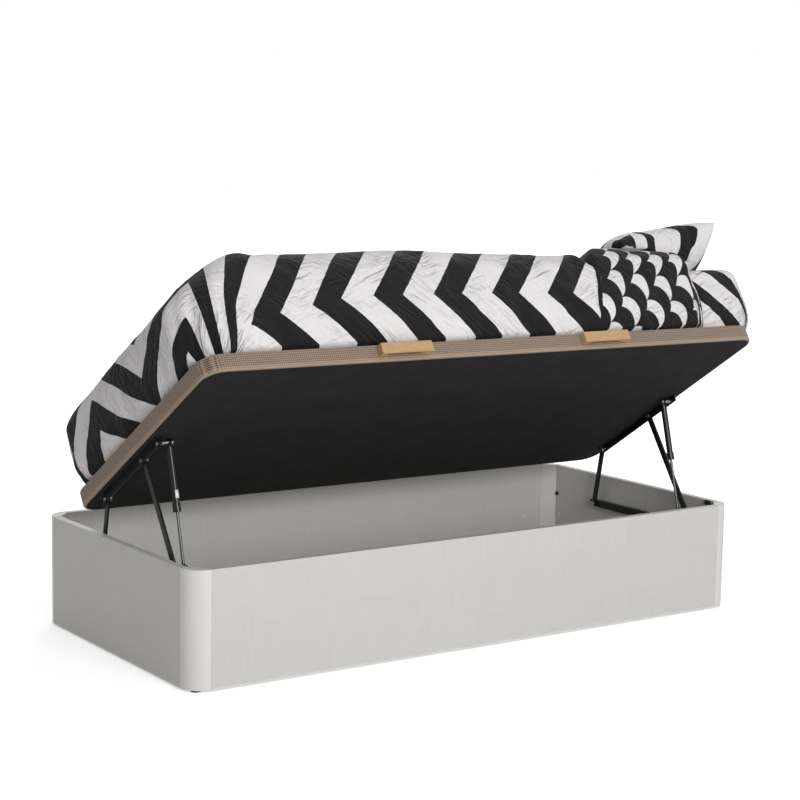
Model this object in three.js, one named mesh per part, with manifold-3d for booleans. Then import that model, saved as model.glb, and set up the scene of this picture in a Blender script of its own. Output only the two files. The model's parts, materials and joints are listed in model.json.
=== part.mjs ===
// Side-lift storage bed. A box of laminate panels carries a lid that swings up towards the open side, on
// two arms and a gas strut at each end, with the made-up bedding on it. It is drawn with the lid raised.
// Millimetres. X runs along the bed to its head end, Y from the open side to the rear side, Z up.
// The origin is on the floor under the middle of the box.
import * as THREE from "three";
import { mergeVertices } from "three/addons/utils/BufferGeometryUtils.js";
import Module from "manifold-3d";

const wasm = await Module();
wasm.setup();

// Box
const boxLength = 1900;
const boxWidth = 900;
const boxHeight = 325;
const panelThickness = 22;
const cornerRadius = 60;
const capThickness = 3;
const seam = 0.3;

// Floor, feet and buffers
const glideHeight = 5;
const glideRadius = 14;
const centreFootRadius = 20;
const cleatHeight = 30;
const cleatDepth = 20;
const battenWidth = 60;
const floorThickness = 8;
const floorClearance = 1;
const bufferLength = 24;
const bufferReach = 8;
const bufferHeight = 16;
const bufferInset = 72;
const bufferProud = 0.7;

// Lid
const openTilt = THREE.MathUtils.degToRad(32.6);
const lidThickness = 50;
const lidRestGap = 1;
const coverWall = 3;
const coverHem = 25;
const coverRounding = 6;
const coverRim = 8;
const clothThickness = 1.2;
const deckThickness = 3.2;
const frameRailWidth = 45;
const crossBarWidth = 60;
const crossBarCount = 4;
const fitGap = 0.3;

// Pull handles
const handleSpacing = 694;
const handleLength = 165;
const handleHeight = 31;
const handleReach = 22;
const handleLift = 12;
const handleLip = 5;
const pocketLength = 125;
const pocketRise = 20;

// Linkage, seen from the foot end: insets run from the long faces of the box or of the lid
const rearPivotInset = 291;
const frontPivotInset = 130;
const pivotHeight = 230;
const rearPinInset = 118;
const frontPinInset = 519;
const pinDrop = 11;
const strutPinInset = 408;
const strutPinDrop = 12;
const strutFootInset = 150;
const strutFootHeight = 205;

// Base rails, a channel on each end panel
const railDepth = 18;
const railHeight = 22;
const railWall = 2.5;
const railOverrun = 26;
const tabWidth = 28;

// Arms, brackets and their pins
const armThickness = 6;
const armStandOff = 2;
const rearArmWidth = 17;
const frontArmWidth = 19;
const bracketStep = 3;
const bracketLegHeight = 22;
const bracketFlange = 14;
const bracketRearReach = 23;
const bracketFrontReach = 23;
const pinRadius = 4;
const pinHeadRadius = 9;
const pinHeadHeight = 5;
const spacerRadius = 8;
const nutRadius = 7;
const nutHeight = 4.5;
const pinPlay = 0.3;

// Gas struts
const strutStandOff = 19;
const cylinderRadius = 9.5;
const cylinderWall = 1.5;
const cylinderEnd = 187;
const collarRadius = 11.5;
const collarLength = 23;
const glandLength = 4;
const eyeRadius = 9;
const eyeThickness = 8;
const barrelStart = 14;
const rodRadius = 4;
const pistonLength = 8;
const pistonRest = 2;

// Mattress
const mattressPlay = 12;
const mattressOverhang = 27;
const mattressThickness = 215;
const mattressFootRadius = 140;
const mattressHeadRadius = 45;
const mattressShoulder = 46;
const mattressTuck = 14;
const mattressBulge = 12;
const mattressCrown = 5;

// Duvet and its turned-down end, measured from the lid's edges and up from the mattress
const duvetProud = 10;
const duvetTuck = 20;
const duvetFootRadius = 130;
const duvetHeadRadius = 60;
const duvetShoulder = 96;
const duvetCrown = 8;
const duvetFootEndLoft = 22;
const duvetFootEndReach = 225;
const duvetFootLoft = 108;
const duvetHeadLoft = 76;
const duvetFoldedLoft = 40;
const duvetFoldedInset = 12;
const duvetEnd = 196;
const duvetFoldDepth = 7;
const duvetFoldCount = 17;
const turndownProud = 12;
const turndownHem = 625;
const turndownTop = 520;
const turndownEnd = 160;
const turndownShoulder = 84;
const turndownFootLoft = 97;
const turndownHeadLoft = 73;
const turndownFoldDepth = 3;
const turndownFoldCount = 13;
const layerGap = 0.5;
const crownReach = 250;
const leastRingRadius = 30;

// Pillow
const pillowWidth = 420;
const pillowLength = 700;
const pillowUpper = 52;
const pillowLower = 150;
const pillowDraw = 26;
const pillowOverhang = 40;
const pillowEdgeInset = 25;
const pillowSeamHeight = 128;
const pillowTilt = THREE.MathUtils.degToRad(-7);

const cutOverrun = 10;
const roundSteps = 14;
const cornerSteps = 4;

// Places that follow from the sizes
const halfLength = boxLength / 2;
const halfWidth = boxWidth / 2;
const innerX = halfLength - panelThickness;
const innerY = halfWidth - panelThickness;
const postX = halfLength - cornerRadius;
const postY = halfWidth - cornerRadius;
const cleatTop = glideHeight + cleatHeight;
const railFace = innerX - railDepth;
const armOuter = railFace - armStandOff;
const armInner = armOuter - armThickness;
const armPlane = (armOuter + armInner) / 2;
const bracketFace = armOuter + bracketStep;
const strutPlane = armInner - strutStandOff - eyeThickness / 2;
const beddingBase = lidThickness + fitGap;
const mattressTop = beddingBase + mattressThickness;
const sides = [
  ["foot", -1],
  ["head", 1],
];

// Finishes
function finish(color, roughness, metalness = 0) {
  return new THREE.MeshStandardMaterial({ color, roughness, metalness });
}
const laminate = finish(0xcccbc8, 0.5);
const edging = finish(0xd2d1cf, 0.4);
const hardboard = finish(0xb9b6b0, 0.7);
const softwood = finish(0xc9a878, 0.7);
const rubber = finish(0x1b1b1b, 0.8);
const blackSteel = finish(0x17181a, 0.35, 0.7);
const zincSteel = finish(0x8f9296, 0.3, 1);
const beech = finish(0xd2b07a, 0.45);
const mesh3d = finish(0x8f7c6b, 0.9);
const backing = finish(0x1e1e1e, 0.95);
const whiteCotton = finish(0xdedbdc, 0.9);
const printedCotton = finish(0x8c8a8b, 0.9);

// A named mesh of one piece.
function piece(name, geometry, material) {
  const made = new THREE.Mesh(geometry, material);
  made.name = name;
  return made;
}

// Joining and cutting of closed shapes
function solidOf(geometry) {
  const bare = geometry.clone();
  bare.deleteAttribute("normal");
  bare.deleteAttribute("uv");
  const merged = mergeVertices(bare);
  const vertProperties = new Float32Array(merged.attributes.position.array);
  const triVerts = new Uint32Array(merged.index.array);
  return new wasm.Manifold(new wasm.Mesh({ numProp: 3, vertProperties, triVerts }));
}

function geometryOf(solid) {
  const cutMesh = solid.getMesh();
  const geometry = new THREE.BufferGeometry();
  geometry.setAttribute("position", new THREE.BufferAttribute(cutMesh.vertProperties, 3));
  geometry.setIndex(new THREE.BufferAttribute(cutMesh.triVerts, 1));
  geometry.computeVertexNormals();
  return geometry;
}

function joined(first, ...others) {
  return geometryOf(others.reduce((whole, other) => whole.add(solidOf(other)), solidOf(first)));
}

function cut(body, ...tools) {
  return geometryOf(tools.reduce((left, tool) => left.subtract(solidOf(tool)), solidOf(body)));
}

function kept(body, region) {
  return geometryOf(solidOf(body).intersect(solidOf(region)));
}

// A block between two limits on each axis.
function block(...ranges) {
  const size = ranges.map(([low, high]) => high - low);
  const middle = ranges.map(([low, high]) => (low + high) / 2);
  return new THREE.BoxGeometry(...size).translate(...middle);
}

// The span along X between two distances from the bed's middle, on the foot or the head side.
function sideSpan(side, inner, outer) {
  return side > 0 ? [inner, outer] : [-outer, -inner];
}

// A prism along Z of a plan outline.
function slab(shape, low, high) {
  const settings = { depth: high - low, bevelEnabled: false, curveSegments: cornerSteps };
  return new THREE.ExtrudeGeometry(shape, settings).translate(0, 0, low);
}

// A prism along X of an outline drawn in the plane of Y and Z.
const endPlane = new THREE.Matrix4().makeBasis(
  new THREE.Vector3(0, 1, 0),
  new THREE.Vector3(0, 0, 1),
  new THREE.Vector3(1, 0, 0),
);
function endPlate(shape, [low, high]) {
  return slab(shape, low, high).applyMatrix4(endPlane);
}

// A prism along Y of an outline drawn in the plane of X and Z.
function longPlate(shape, near, far) {
  return slab(shape, -far, -near).rotateX(Math.PI / 2);
}

// A round bar along X.
function crossBar([low, high], radius, y, z) {
  const bar = new THREE.CylinderGeometry(radius, radius, high - low, roundSteps);
  return bar.rotateZ(-Math.PI / 2).translate((low + high) / 2, y, z);
}

// A turned piece along X. Its rows are [distance from the bed's middle, radius], from the inside outwards.
function turnedAcross(side, rows, y, z) {
  const ordered = side > 0 ? rows : [...rows].reverse();
  const profile = ordered.map(([reach, radius]) => new THREE.Vector2(radius, side * reach));
  return new THREE.LatheGeometry(profile, roundSteps).rotateZ(-Math.PI / 2).translate(0, y, z);
}

// Linkage: points are (y, z) in the plane of the arms
function at(y, z) {
  return new THREE.Vector2(y, z);
}

function turnedBy(point, angle) {
  return point.clone().rotateAround(at(0, 0), angle);
}

// The upper point that lies at the two given distances from two centres.
function upperMeeting(centreA, reachA, centreB, reachB) {
  const across = centreB.clone().sub(centreA);
  const apart = across.length();
  const along = (reachA ** 2 - reachB ** 2 + apart ** 2) / (2 * apart);
  const aside = Math.sqrt(reachA ** 2 - along ** 2);
  const foot = centreA.clone().addScaledVector(across, along / apart);
  const normal = at(-across.y, across.x).multiplyScalar(aside / apart);
  return normal.y > 0 ? foot.add(normal) : foot.sub(normal);
}

const rearPivot = at(halfWidth - rearPivotInset, pivotHeight);
const frontPivot = at(frontPivotInset - halfWidth, pivotHeight);
const strutFoot = at(strutFootInset - halfWidth, strutFootHeight);
const rearPinOnLid = at(-rearPinInset, -pinDrop);
const frontPinOnLid = at(frontPinInset - boxWidth, -pinDrop);
const strutPinOnLid = at(strutPinInset - boxWidth, -strutPinDrop);
const closedLid = at(halfWidth, boxHeight + lidRestGap);
const rearArmLength = rearPivot.distanceTo(closedLid.clone().add(rearPinOnLid));
const frontArmLength = frontPivot.distanceTo(closedLid.clone().add(frontPinOnLid));
const coupler = turnedBy(frontPinOnLid.clone().sub(rearPinOnLid), -openTilt);
const couplerFoot = frontPivot.clone().sub(coupler);
const rearPin = upperMeeting(rearPivot, rearArmLength, couplerFoot, frontArmLength);
const frontPin = rearPin.clone().add(coupler);
const openLid = rearPin.clone().sub(turnedBy(rearPinOnLid, -openTilt));
const strutPin = openLid.clone().add(turnedBy(strutPinOnLid, -openTilt));
const strutOpen = strutFoot.distanceTo(strutPin);

// Angle of the line between two points, from Y towards Z.
function bearing(from, to) {
  return Math.atan2(to.y - from.y, to.x - from.x);
}

// Puts a piece that is drawn along Y from its own origin onto a point, turned towards another.
function aimed(made, x, from, to) {
  made.position.set(x, from.x, from.y);
  made.rotation.x = bearing(from, to);
  return made;
}

// Box panels, posts and caps
function longPanel(name, ySpan) {
  const reach = postX - seam;
  return piece(name, block([-reach, reach], ySpan, [glideHeight, boxHeight]), laminate);
}

function endPanel(name, side) {
  const reach = postY - seam;
  const span = sideSpan(side, innerX, halfLength);
  return piece(name, block(span, [-reach, reach], [glideHeight, boxHeight]), laminate);
}

// Plan of a corner post: round outside, flat inside.
function postOutline(side, row) {
  const centre = at(side * postX, row * postY);
  const quarter = Math.PI / 2;
  const first = Math.atan2(row, side) - quarter / 2;
  const last = first + quarter;
  const innerLeg = at(cornerRadius - panelThickness, 0);
  const shape = new THREE.Shape();
  shape.absarc(centre.x, centre.y, cornerRadius, first, last);
  for (const angle of [last, first]) {
    const corner = centre.clone().add(turnedBy(innerLeg, angle));
    shape.lineTo(corner.x, corner.y);
  }
  shape.closePath();
  return shape;
}

function cornerPieces() {
  const made = [];
  for (const [end, side] of sides) {
    for (const [edge, row] of [
      ["front", -1],
      ["rear", 1],
    ]) {
      const outline = postOutline(side, row);
      const capBase = boxHeight - capThickness;
      made.push(piece(`corner_post_${edge}_${end}`, slab(outline, glideHeight, capBase), edging));
      made.push(piece(`post_cap_${edge}_${end}`, slab(outline, capBase, boxHeight), edging));
      made.push(cornerGlide(`glide_${edge}_${end}`, side, row));
    }
  }
  return made;
}

// A glide stands under the middle of the post's section.
function cornerGlide(name, side, row) {
  const flatReach = (cornerRadius - panelThickness) / Math.SQRT2;
  const offset = (cornerRadius + flatReach) / 2 / Math.SQRT2;
  const glide = new THREE.CylinderGeometry(glideRadius, glideRadius, glideHeight, roundSteps);
  glide.rotateX(Math.PI / 2).translate(side * (postX + offset), row * (postY + offset), glideHeight / 2);
  return piece(name, glide, rubber);
}

// Floor boards on cleats and a batten
function floorBoard(name, side) {
  const end = innerX - floorClearance;
  const edge = innerY - floorClearance;
  const leg = cornerRadius - panelThickness + floorClearance;
  const joint = seam / 2;
  const points = [
    [joint, -edge],
    [end - leg, -edge],
    [end, leg - edge],
    [end, edge - leg],
    [end - leg, edge],
    [joint, edge],
  ];
  const outline = new THREE.Shape(points.map(([x, y]) => at(side * x, y)));
  return piece(name, slab(outline, cleatTop, cleatTop + floorThickness), hardboard);
}

function cleat(name, row) {
  const reach = postX - seam;
  const ySpan = row > 0 ? [innerY - cleatDepth, innerY] : [-innerY, cleatDepth - innerY];
  return piece(name, block([-reach, reach], ySpan, [glideHeight, cleatTop]), softwood);
}

function centreBatten() {
  const reach = innerY - cleatDepth;
  const half = battenWidth / 2;
  return piece("centre_batten", block([-half, half], [-reach, reach], [glideHeight, cleatTop]), softwood);
}

function centreFoot() {
  const foot = new THREE.CylinderGeometry(centreFootRadius, centreFootRadius, glideHeight, roundSteps);
  return piece("centre_foot", foot.rotateX(Math.PI / 2).translate(0, 0, glideHeight / 2), rubber);
}

// Rubber buffer on the end panel, which carries the near edge of the closed lid.
function lidBuffer(name, side) {
  const near = bufferInset - halfWidth;
  const top = boxHeight + bufferProud;
  const xSpan = sideSpan(side, innerX - bufferReach, innerX);
  return piece(name, block(xSpan, [near, near + bufferLength], [top - bufferHeight, top]), rubber);
}

// Base rail: a channel open to the panel, with a boss for the front arm and a tab for the strut.
function baseRail(name, side) {
  const low = pivotHeight - railHeight / 2;
  const high = pivotHeight + railHeight / 2;
  const near = frontPivot.x - railOverrun;
  const far = rearPivot.x + railOverrun;
  const outer = block(sideSpan(side, railFace, innerX), [near, far], [low, high]);
  const hollow = block(
    sideSpan(side, railFace + railWall, innerX + cutOverrun),
    [near - cutOverrun, far + cutOverrun],
    [low + railWall, high - railWall],
  );
  const web = sideSpan(side, railFace, railFace + railWall);
  const tabHalf = tabWidth / 2;
  const tabSpan = [strutFoot.x - tabHalf, strutFoot.x + tabHalf];
  const tab = block(web, tabSpan, [strutFoot.y - tabHalf, low + railWall]);
  const bossSpan = sideSpan(side, armOuter + pinPlay, railFace + railWall);
  const boss = crossBar(bossSpan, spacerRadius, frontPivot.x, frontPivot.y);
  const drill = sideSpan(side, armInner, innerX + cutOverrun);
  const bore = pinRadius + pinPlay;
  const body = joined(cut(outer, hollow), tab, boss);
  const holes = [rearPivot, strutFoot].map((point) => crossBar(drill, bore, point.x, point.y));
  return piece(name, cut(body, ...holes), blackSteel);
}

// A headed pin that goes through an arm, a spacer and a steel leg into a nut.
function pinRows(headFace, spacer, leg) {
  return [
    [headFace.from, 0],
    [headFace.from, pinHeadRadius],
    [headFace.to, pinHeadRadius],
    [headFace.to, pinRadius],
    [spacer.from, pinRadius],
    [spacer.from, spacer.radius],
    [spacer.to, spacer.radius],
    [spacer.to, pinRadius],
    [leg + pinPlay, pinRadius],
    [leg + pinPlay, nutRadius],
    [leg + pinPlay + nutHeight, nutRadius],
    [leg + pinPlay + nutHeight, 0],
  ];
}

// Pin through an arm, from its head inside to its nut behind the leg that starts at legFace.
function armPin(name, side, legFace, point) {
  const head = { from: armInner - pinPlay - pinHeadHeight, to: armInner - pinPlay };
  const spacer = { from: armOuter + pinPlay, to: legFace - pinPlay, radius: spacerRadius };
  const rows = pinRows(head, spacer, legFace + railWall);
  return piece(name, turnedAcross(side, rows, point.x, point.y), zincSteel);
}

// Upper stud of a strut, through the cylinder's eye.
function strutStudUpper(name, side) {
  const eyeInner = strutPlane - eyeThickness / 2;
  const eyeOuter = strutPlane + eyeThickness / 2;
  const head = { from: eyeInner - pinPlay - pinHeadHeight, to: eyeInner - pinPlay };
  const spacer = { from: eyeOuter + pinPlay, to: bracketFace - pinPlay, radius: pinRadius + railWall };
  const rows = pinRows(head, spacer, bracketFace + railWall);
  return piece(name, turnedAcross(side, rows, strutPinOnLid.x, strutPinOnLid.y), zincSteel);
}

// Lower stud of a strut: it ends at the face of the rod's eye.
function strutStudLower(name, side) {
  const collar = railFace - pinPlay;
  const nut = railFace + railWall + pinPlay;
  const rows = [
    [strutPlane + eyeThickness / 2 + pinPlay, 0],
    [strutPlane + eyeThickness / 2 + pinPlay, pinRadius],
    [collar - pinHeadHeight, pinRadius],
    [collar - pinHeadHeight, nutRadius],
    [collar, nutRadius],
    [collar, pinRadius],
    [nut, pinRadius],
    [nut, nutRadius],
    [nut + nutHeight, nutRadius],
    [nut + nutHeight, 0],
  ];
  return piece(name, turnedAcross(side, rows, strutFoot.x, strutFoot.y), zincSteel);
}

// Outline of a flat bar with round ends, from its own origin along the first axis.
function barOutline(length, width, holeCentres) {
  const radius = width / 2;
  const shape = new THREE.Shape();
  shape.absarc(length, 0, radius, -Math.PI / 2, Math.PI / 2);
  shape.absarc(0, 0, radius, Math.PI / 2, (3 * Math.PI) / 2);
  shape.closePath();
  for (const centre of holeCentres) {
    const hole = new THREE.Path().absarc(centre, 0, pinRadius + pinPlay, 0, Math.PI);
    shape.holes.push(hole.absarc(centre, 0, pinRadius + pinPlay, Math.PI, 2 * Math.PI));
  }
  return shape;
}

const armSpan = [-armThickness / 2, armThickness / 2];

function rearArm(name, side) {
  const outline = barOutline(rearArmLength, rearArmWidth, [0, rearArmLength]);
  const arm = piece(name, endPlate(outline, armSpan), blackSteel);
  return aimed(arm, side * armPlane, rearPivot, rearPin);
}

// The front arm hangs from the lid, and its lower end has only its rivet head.
function frontArm(name, side) {
  const outline = barOutline(frontArmLength, frontArmWidth, [0]);
  const headSpan = sideSpan(-side, 0, armThickness / 2 + pinHeadHeight);
  const head = crossBar(headSpan, pinHeadRadius, frontArmLength, 0);
  const arm = piece(name, joined(endPlate(outline, armSpan), head), blackSteel);
  return aimed(arm, side * armPlane, frontPin, frontPivot);
}

// A turned piece along Y, from rows of [distance, radius].
function turnedAlong(rows) {
  return new THREE.LatheGeometry(
    rows.map(([reach, radius]) => new THREE.Vector2(radius, reach)),
    roundSteps,
  );
}

// Strut cylinder, drawn from its eye: a hollow barrel that is open at the gland.
function gasCylinder(name, side) {
  const bore = cylinderRadius - cylinderWall;
  const neck = rodRadius + pinPlay;
  const shankStart = eyeRadius - cylinderWall;
  const boreStart = barrelStart + glandLength;
  const rows = [
    [shankStart, 0],
    [shankStart, eyeThickness / 2],
    [barrelStart, eyeThickness / 2],
    [barrelStart, cylinderRadius],
    [cylinderEnd - collarLength, cylinderRadius],
    [cylinderEnd - collarLength, collarRadius],
    [cylinderEnd, collarRadius],
    [cylinderEnd, neck],
    [cylinderEnd - glandLength, neck],
    [cylinderEnd - glandLength, bore],
    [boreStart, bore],
    [boreStart, 0],
  ];
  const halfEye = eyeThickness / 2;
  const eye = crossBar([-halfEye, halfEye], eyeRadius, 0, 0);
  const drill = crossBar([-halfEye - cutOverrun, halfEye + cutOverrun], pinRadius + pinPlay, 0, 0);
  const barrel = piece(name, cut(joined(turnedAlong(rows), eye), drill), blackSteel);
  return aimed(barrel, side * strutPlane, strutPin, strutFoot);
}

// Strut rod with its piston inside the cylinder and its eye on the lower stud, drawn from the upper stud.
function gasRod(name, side) {
  const pistonEnd = cylinderEnd - glandLength - pistonRest;
  const pistonRadius = cylinderRadius - cylinderWall - pinPlay;
  const rows = [
    [pistonEnd - pistonLength, 0],
    [pistonEnd - pistonLength, pistonRadius],
    [pistonEnd, pistonRadius],
    [pistonEnd, rodRadius],
    [strutOpen - eyeRadius / 2, rodRadius],
    [strutOpen - eyeRadius / 2, 0],
  ];
  const eye = crossBar([-eyeThickness / 2, eyeThickness / 2], eyeRadius, strutOpen, 0);
  const headSpan = sideSpan(-side, 0, eyeThickness / 2 + railWall);
  const head = crossBar(headSpan, nutRadius, strutOpen, 0);
  const rod = piece(name, joined(turnedAlong(rows), eye, head), zincSteel);
  return aimed(rod, side * strutPlane, strutPin, strutFoot);
}

// Steel angle under the lid, in the lid's own frame, that carries the arm pins and the strut's upper stud.
function lidBracket(name, side) {
  const near = strutPinOnLid.x - bracketFrontReach;
  const far = rearPinOnLid.x + bracketRearReach;
  const legSpan = sideSpan(side, bracketFace, bracketFace + railWall);
  const flangeSpan = sideSpan(side, bracketFace, bracketFace + bracketFlange);
  const leg = block(legSpan, [near, far], [-bracketLegHeight, -fitGap]);
  const flange = block(flangeSpan, [near, far], [-fitGap - railWall, -fitGap]);
  const drill = sideSpan(side, bracketFace - cutOverrun, bracketFace + cutOverrun);
  const holes = [rearPinOnLid, frontPinOnLid, strutPinOnLid].map((point) =>
    crossBar(drill, pinRadius + pinPlay, point.x, point.y),
  );
  return piece(name, cut(joined(leg, flange), ...holes), blackSteel);
}

// Lid, in its own frame: the origin is on its rear lower edge and Y runs back to zero there.
function planOutline(left, right, near, far, radius) {
  const quarter = Math.PI / 2;
  const shape = new THREE.Shape();
  shape.absarc(right - radius, near + radius, radius, -quarter, 0);
  shape.absarc(right - radius, far - radius, radius, 0, quarter);
  shape.absarc(left + radius, far - radius, radius, quarter, 2 * quarter);
  shape.absarc(left + radius, near + radius, radius, 2 * quarter, 3 * quarter);
  shape.closePath();
  return shape;
}

function lidOutline(inset) {
  return planOutline(inset - halfLength, halfLength - inset, inset - boxWidth, -inset, cornerRadius - inset);
}

const hemBase = clothThickness + fitGap;
const frameBase = hemBase + coverWall + fitGap;
const deckTop = lidThickness - coverWall - fitGap;
const frameTop = deckTop - deckThickness - fitGap;

// Fabric cover: an inverted tray whose hem turns in under the frame.
function lidCover() {
  const rounded = {
    depth: lidThickness - 2 * coverRounding,
    bevelThickness: coverRounding,
    bevelSize: coverRounding,
    bevelOffset: -coverRounding,
    bevelSegments: 2,
    curveSegments: cornerSteps,
  };
  const outer = new THREE.ExtrudeGeometry(lidOutline(0), rounded).translate(0, 0, coverRounding);
  const inside = slab(lidOutline(coverWall), hemBase + coverWall, lidThickness - coverWall);
  const recess = slab(lidOutline(coverRim), -cutOverrun, hemBase);
  const mouth = slab(lidOutline(coverWall + coverHem), -cutOverrun, hemBase + 2 * coverWall);
  return piece("lid_cover", cut(outer, inside, recess, mouth), mesh3d);
}

function undersideCloth() {
  return piece("underside_cloth", slab(lidOutline(coverRim + fitGap), 0, clothThickness), backing);
}

function lidFrame() {
  const inner = coverWall + fitGap + frameRailWidth;
  const clearLength = boxLength - 2 * inner;
  const bay = (clearLength - crossBarCount * crossBarWidth) / (crossBarCount + 1);
  const bays = [];
  for (let index = 0; index <= crossBarCount; index += 1) {
    const left = inner - halfLength + index * (bay + crossBarWidth);
    const zSpan = [frameBase - cutOverrun, frameTop + cutOverrun];
    bays.push(block([left, left + bay], [inner - boxWidth, -inner], zSpan));
  }
  const whole = slab(lidOutline(coverWall + fitGap), frameBase, frameTop);
  return piece("lid_frame", cut(whole, ...bays), softwood);
}

function lidDeck() {
  return piece("lid_board", slab(lidOutline(coverWall + fitGap), frameTop + fitGap, deckTop), hardboard);
}

// Pull handle: a block on the near edge, with an arched pocket for the fingers open below.
function pullHandle(name, side) {
  const centre = (side * handleSpacing) / 2;
  const back = -boxWidth - fitGap;
  const front = back - handleReach;
  const half = handleLength / 2;
  const body = block([centre - half, centre + half], [front, back], [handleLift, handleLift + handleHeight]);
  const chord = pocketLength / 2;
  const radius = (chord ** 2 + pocketRise ** 2) / (2 * pocketRise);
  const sweep = Math.asin(chord / radius);
  const arch = new THREE.Shape();
  arch.absarc(centre, handleLift + pocketRise - radius, radius, Math.PI / 2 - sweep, Math.PI / 2 + sweep);
  arch.lineTo(centre - chord, handleLift - cutOverrun);
  arch.lineTo(centre + chord, handleLift - cutOverrun);
  arch.closePath();
  const pocket = longPlate(arch, front + handleLip, back + cutOverrun);
  return piece(name, cut(body, pocket), beech);
}

// Bedding, in the lid's frame. A skin over rings of equally many points, from the lowest ring to the highest.
// Middle is the point of a ring that lies half way along the head end.
function lofted(rings, middle) {
  const count = rings[0].length;
  const positions = rings.flat().flatMap((point) => point.toArray());
  const index = [];
  for (let row = 0; row + 1 < rings.length; row += 1) {
    for (let step = 0; step < count; step += 1) {
      const next = (step + 1) % count;
      const low = row * count;
      const high = low + count;
      index.push(low + step, low + next, high + next, low + step, high + next, high + step);
    }
  }
  const top = (rings.length - 1) * count;
  for (const [a, b, c] of capFaces(count, middle)) {
    index.push(c, b, a);
    index.push(top + a, top + b, top + c);
  }
  const geometry = new THREE.BufferGeometry();
  geometry.setAttribute("position", new THREE.Float32BufferAttribute(positions, 3));
  geometry.setIndex(index);
  geometry.computeVertexNormals();
  return geometry;
}

// Faces that close a ring with strips from its near side to its far side, from the head end to the foot end.
function capFaces(count, middle) {
  const wrapped = (step) => (step + count) % count;
  const faces = [[wrapped(middle - 1), middle, wrapped(middle + 1)]];
  for (let step = 1; step < count / 2 - 1; step += 1) {
    const [near, far] = [wrapped(middle - step), wrapped(middle + step)];
    const [nextNear, nextFar] = [wrapped(near - 1), wrapped(far + 1)];
    faces.push([nextNear, near, far], [nextNear, far, nextFar]);
  }
  const last = count / 2 - 1;
  faces.push([wrapped(middle + count / 2), wrapped(middle - last), wrapped(middle + last)]);
  return faces;
}

// Points round a layer's plan, anticlockwise, as many for every inset.
function planPoints(layer, inset) {
  const footRadius = Math.max(layer.footRadius - inset, leastRingRadius);
  const headRadius = Math.max(layer.headRadius - inset, leastRingRadius);
  const left = layer.foot + inset + footRadius;
  const right = layer.head - inset - headRadius;
  const corners = [
    [right, layer.near + inset + headRadius, headRadius, -1, layer.endSteps],
    [right, layer.far - inset - headRadius, headRadius, 0, layer.longSteps],
    [left, layer.far - inset - footRadius, footRadius, 1, layer.endSteps],
    [left, layer.near + inset + footRadius, footRadius, 2, layer.longSteps],
  ];
  const points = [];
  for (const [x, y, radius, quarters, straightSteps] of corners) {
    for (let step = 0; step <= layer.cornerSteps; step += 1) {
      const angle = (Math.PI / 2) * (quarters + step / layer.cornerSteps);
      const place = at(x + radius * Math.cos(angle), y + radius * Math.sin(angle));
      points.push({ place, straightSteps: step < layer.cornerSteps ? 1 : straightSteps });
    }
  }
  return points.flatMap(({ place, straightSteps }, index) => {
    const next = points[(index + 1) % points.length].place;
    return Array.from({ length: straightSteps }, (_, step) => place.clone().lerp(next, step / straightSteps));
  });
}

// Section of a layer from its hem to its crown. A row is [tuck share, bulge share, share of the wall's height].
const wallShares = [
  [1, 0, 0],
  [0.3, 0.3, 0.12],
  [0, 0.9, 0.4],
  [0, 1, 0.7],
];
const shoulderShares = [0.15, 0.4, 0.7, 1];
const crownShares = [0.3, 1];

function sectionRows(layer) {
  const wallTop = layer.top - layer.shoulder;
  const rows = wallShares.map(([tuck, bulge, height]) => [
    tuck * layer.tuck - bulge * layer.bulge,
    layer.base + height * (wallTop - layer.base),
  ]);
  for (const share of shoulderShares) {
    const angle = (share * Math.PI) / 2;
    const inset = layer.shoulder * (1 - Math.cos(angle)) - layer.bulge * Math.cos(angle);
    rows.push([inset, wallTop + layer.shoulder * Math.sin(angle)]);
  }
  for (const share of crownShares) {
    rows.push([layer.shoulder + share * crownReach, layer.top + share * layer.crown]);
  }
  return rows;
}

// Slow folds round a layer, strongest half way up its section.
const secondFoldShare = 1.6;
const foldTwist = 5;
function foldAt(layer, around, up) {
  const turn = 2 * Math.PI * around;
  const first = Math.sin(turn * layer.foldCount + foldTwist * up);
  const second = Math.sin(turn * Math.round(layer.foldCount * secondFoldShare) - foldTwist * up);
  return (layer.foldDepth * Math.sin(Math.PI * up) * (first + second)) / 2;
}

// How far round the plan each of its points lies.
function aroundShares(points) {
  const lengths = points.map((point, step) => point.distanceTo(points[(step + 1) % points.length]));
  const whole = lengths.reduce((sum, length) => sum + length);
  let passed = 0;
  return lengths.map((length) => {
    const share = passed / whole;
    passed += length;
    return share;
  });
}

// A bedding layer's solid. Grow swells it for use as a cutting tool for the layer above.
function layerGeometry(layer, grow = 0) {
  const rows = sectionRows(layer);
  const around = aroundShares(planPoints(layer, 0));
  const middle = (layer.near + layer.far) / 2;
  const floor = layer.base - (grow > 0 ? cutOverrun : 0);
  const rings = rows.map(([inset, height], row) => {
    const up = row / (rows.length - 1);
    return planPoints(layer, inset - grow).map(({ x, y }, step) => {
      const fold = foldAt(layer, around[step], up);
      const pull = layer.squeeze ? layer.squeeze(x) : 0;
      const sideShare = THREE.MathUtils.clamp((y - middle) / crownReach, -1, 1);
      const lifted = layer.base + (height - layer.base) * layer.heightShare(x);
      const z = row === 0 ? floor : lifted + grow + fold * up;
      return new THREE.Vector3(x, y + sideShare * (fold - pull), z);
    });
  });
  return lofted(rings, layer.cornerSteps + layer.endSteps / 2);
}

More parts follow.
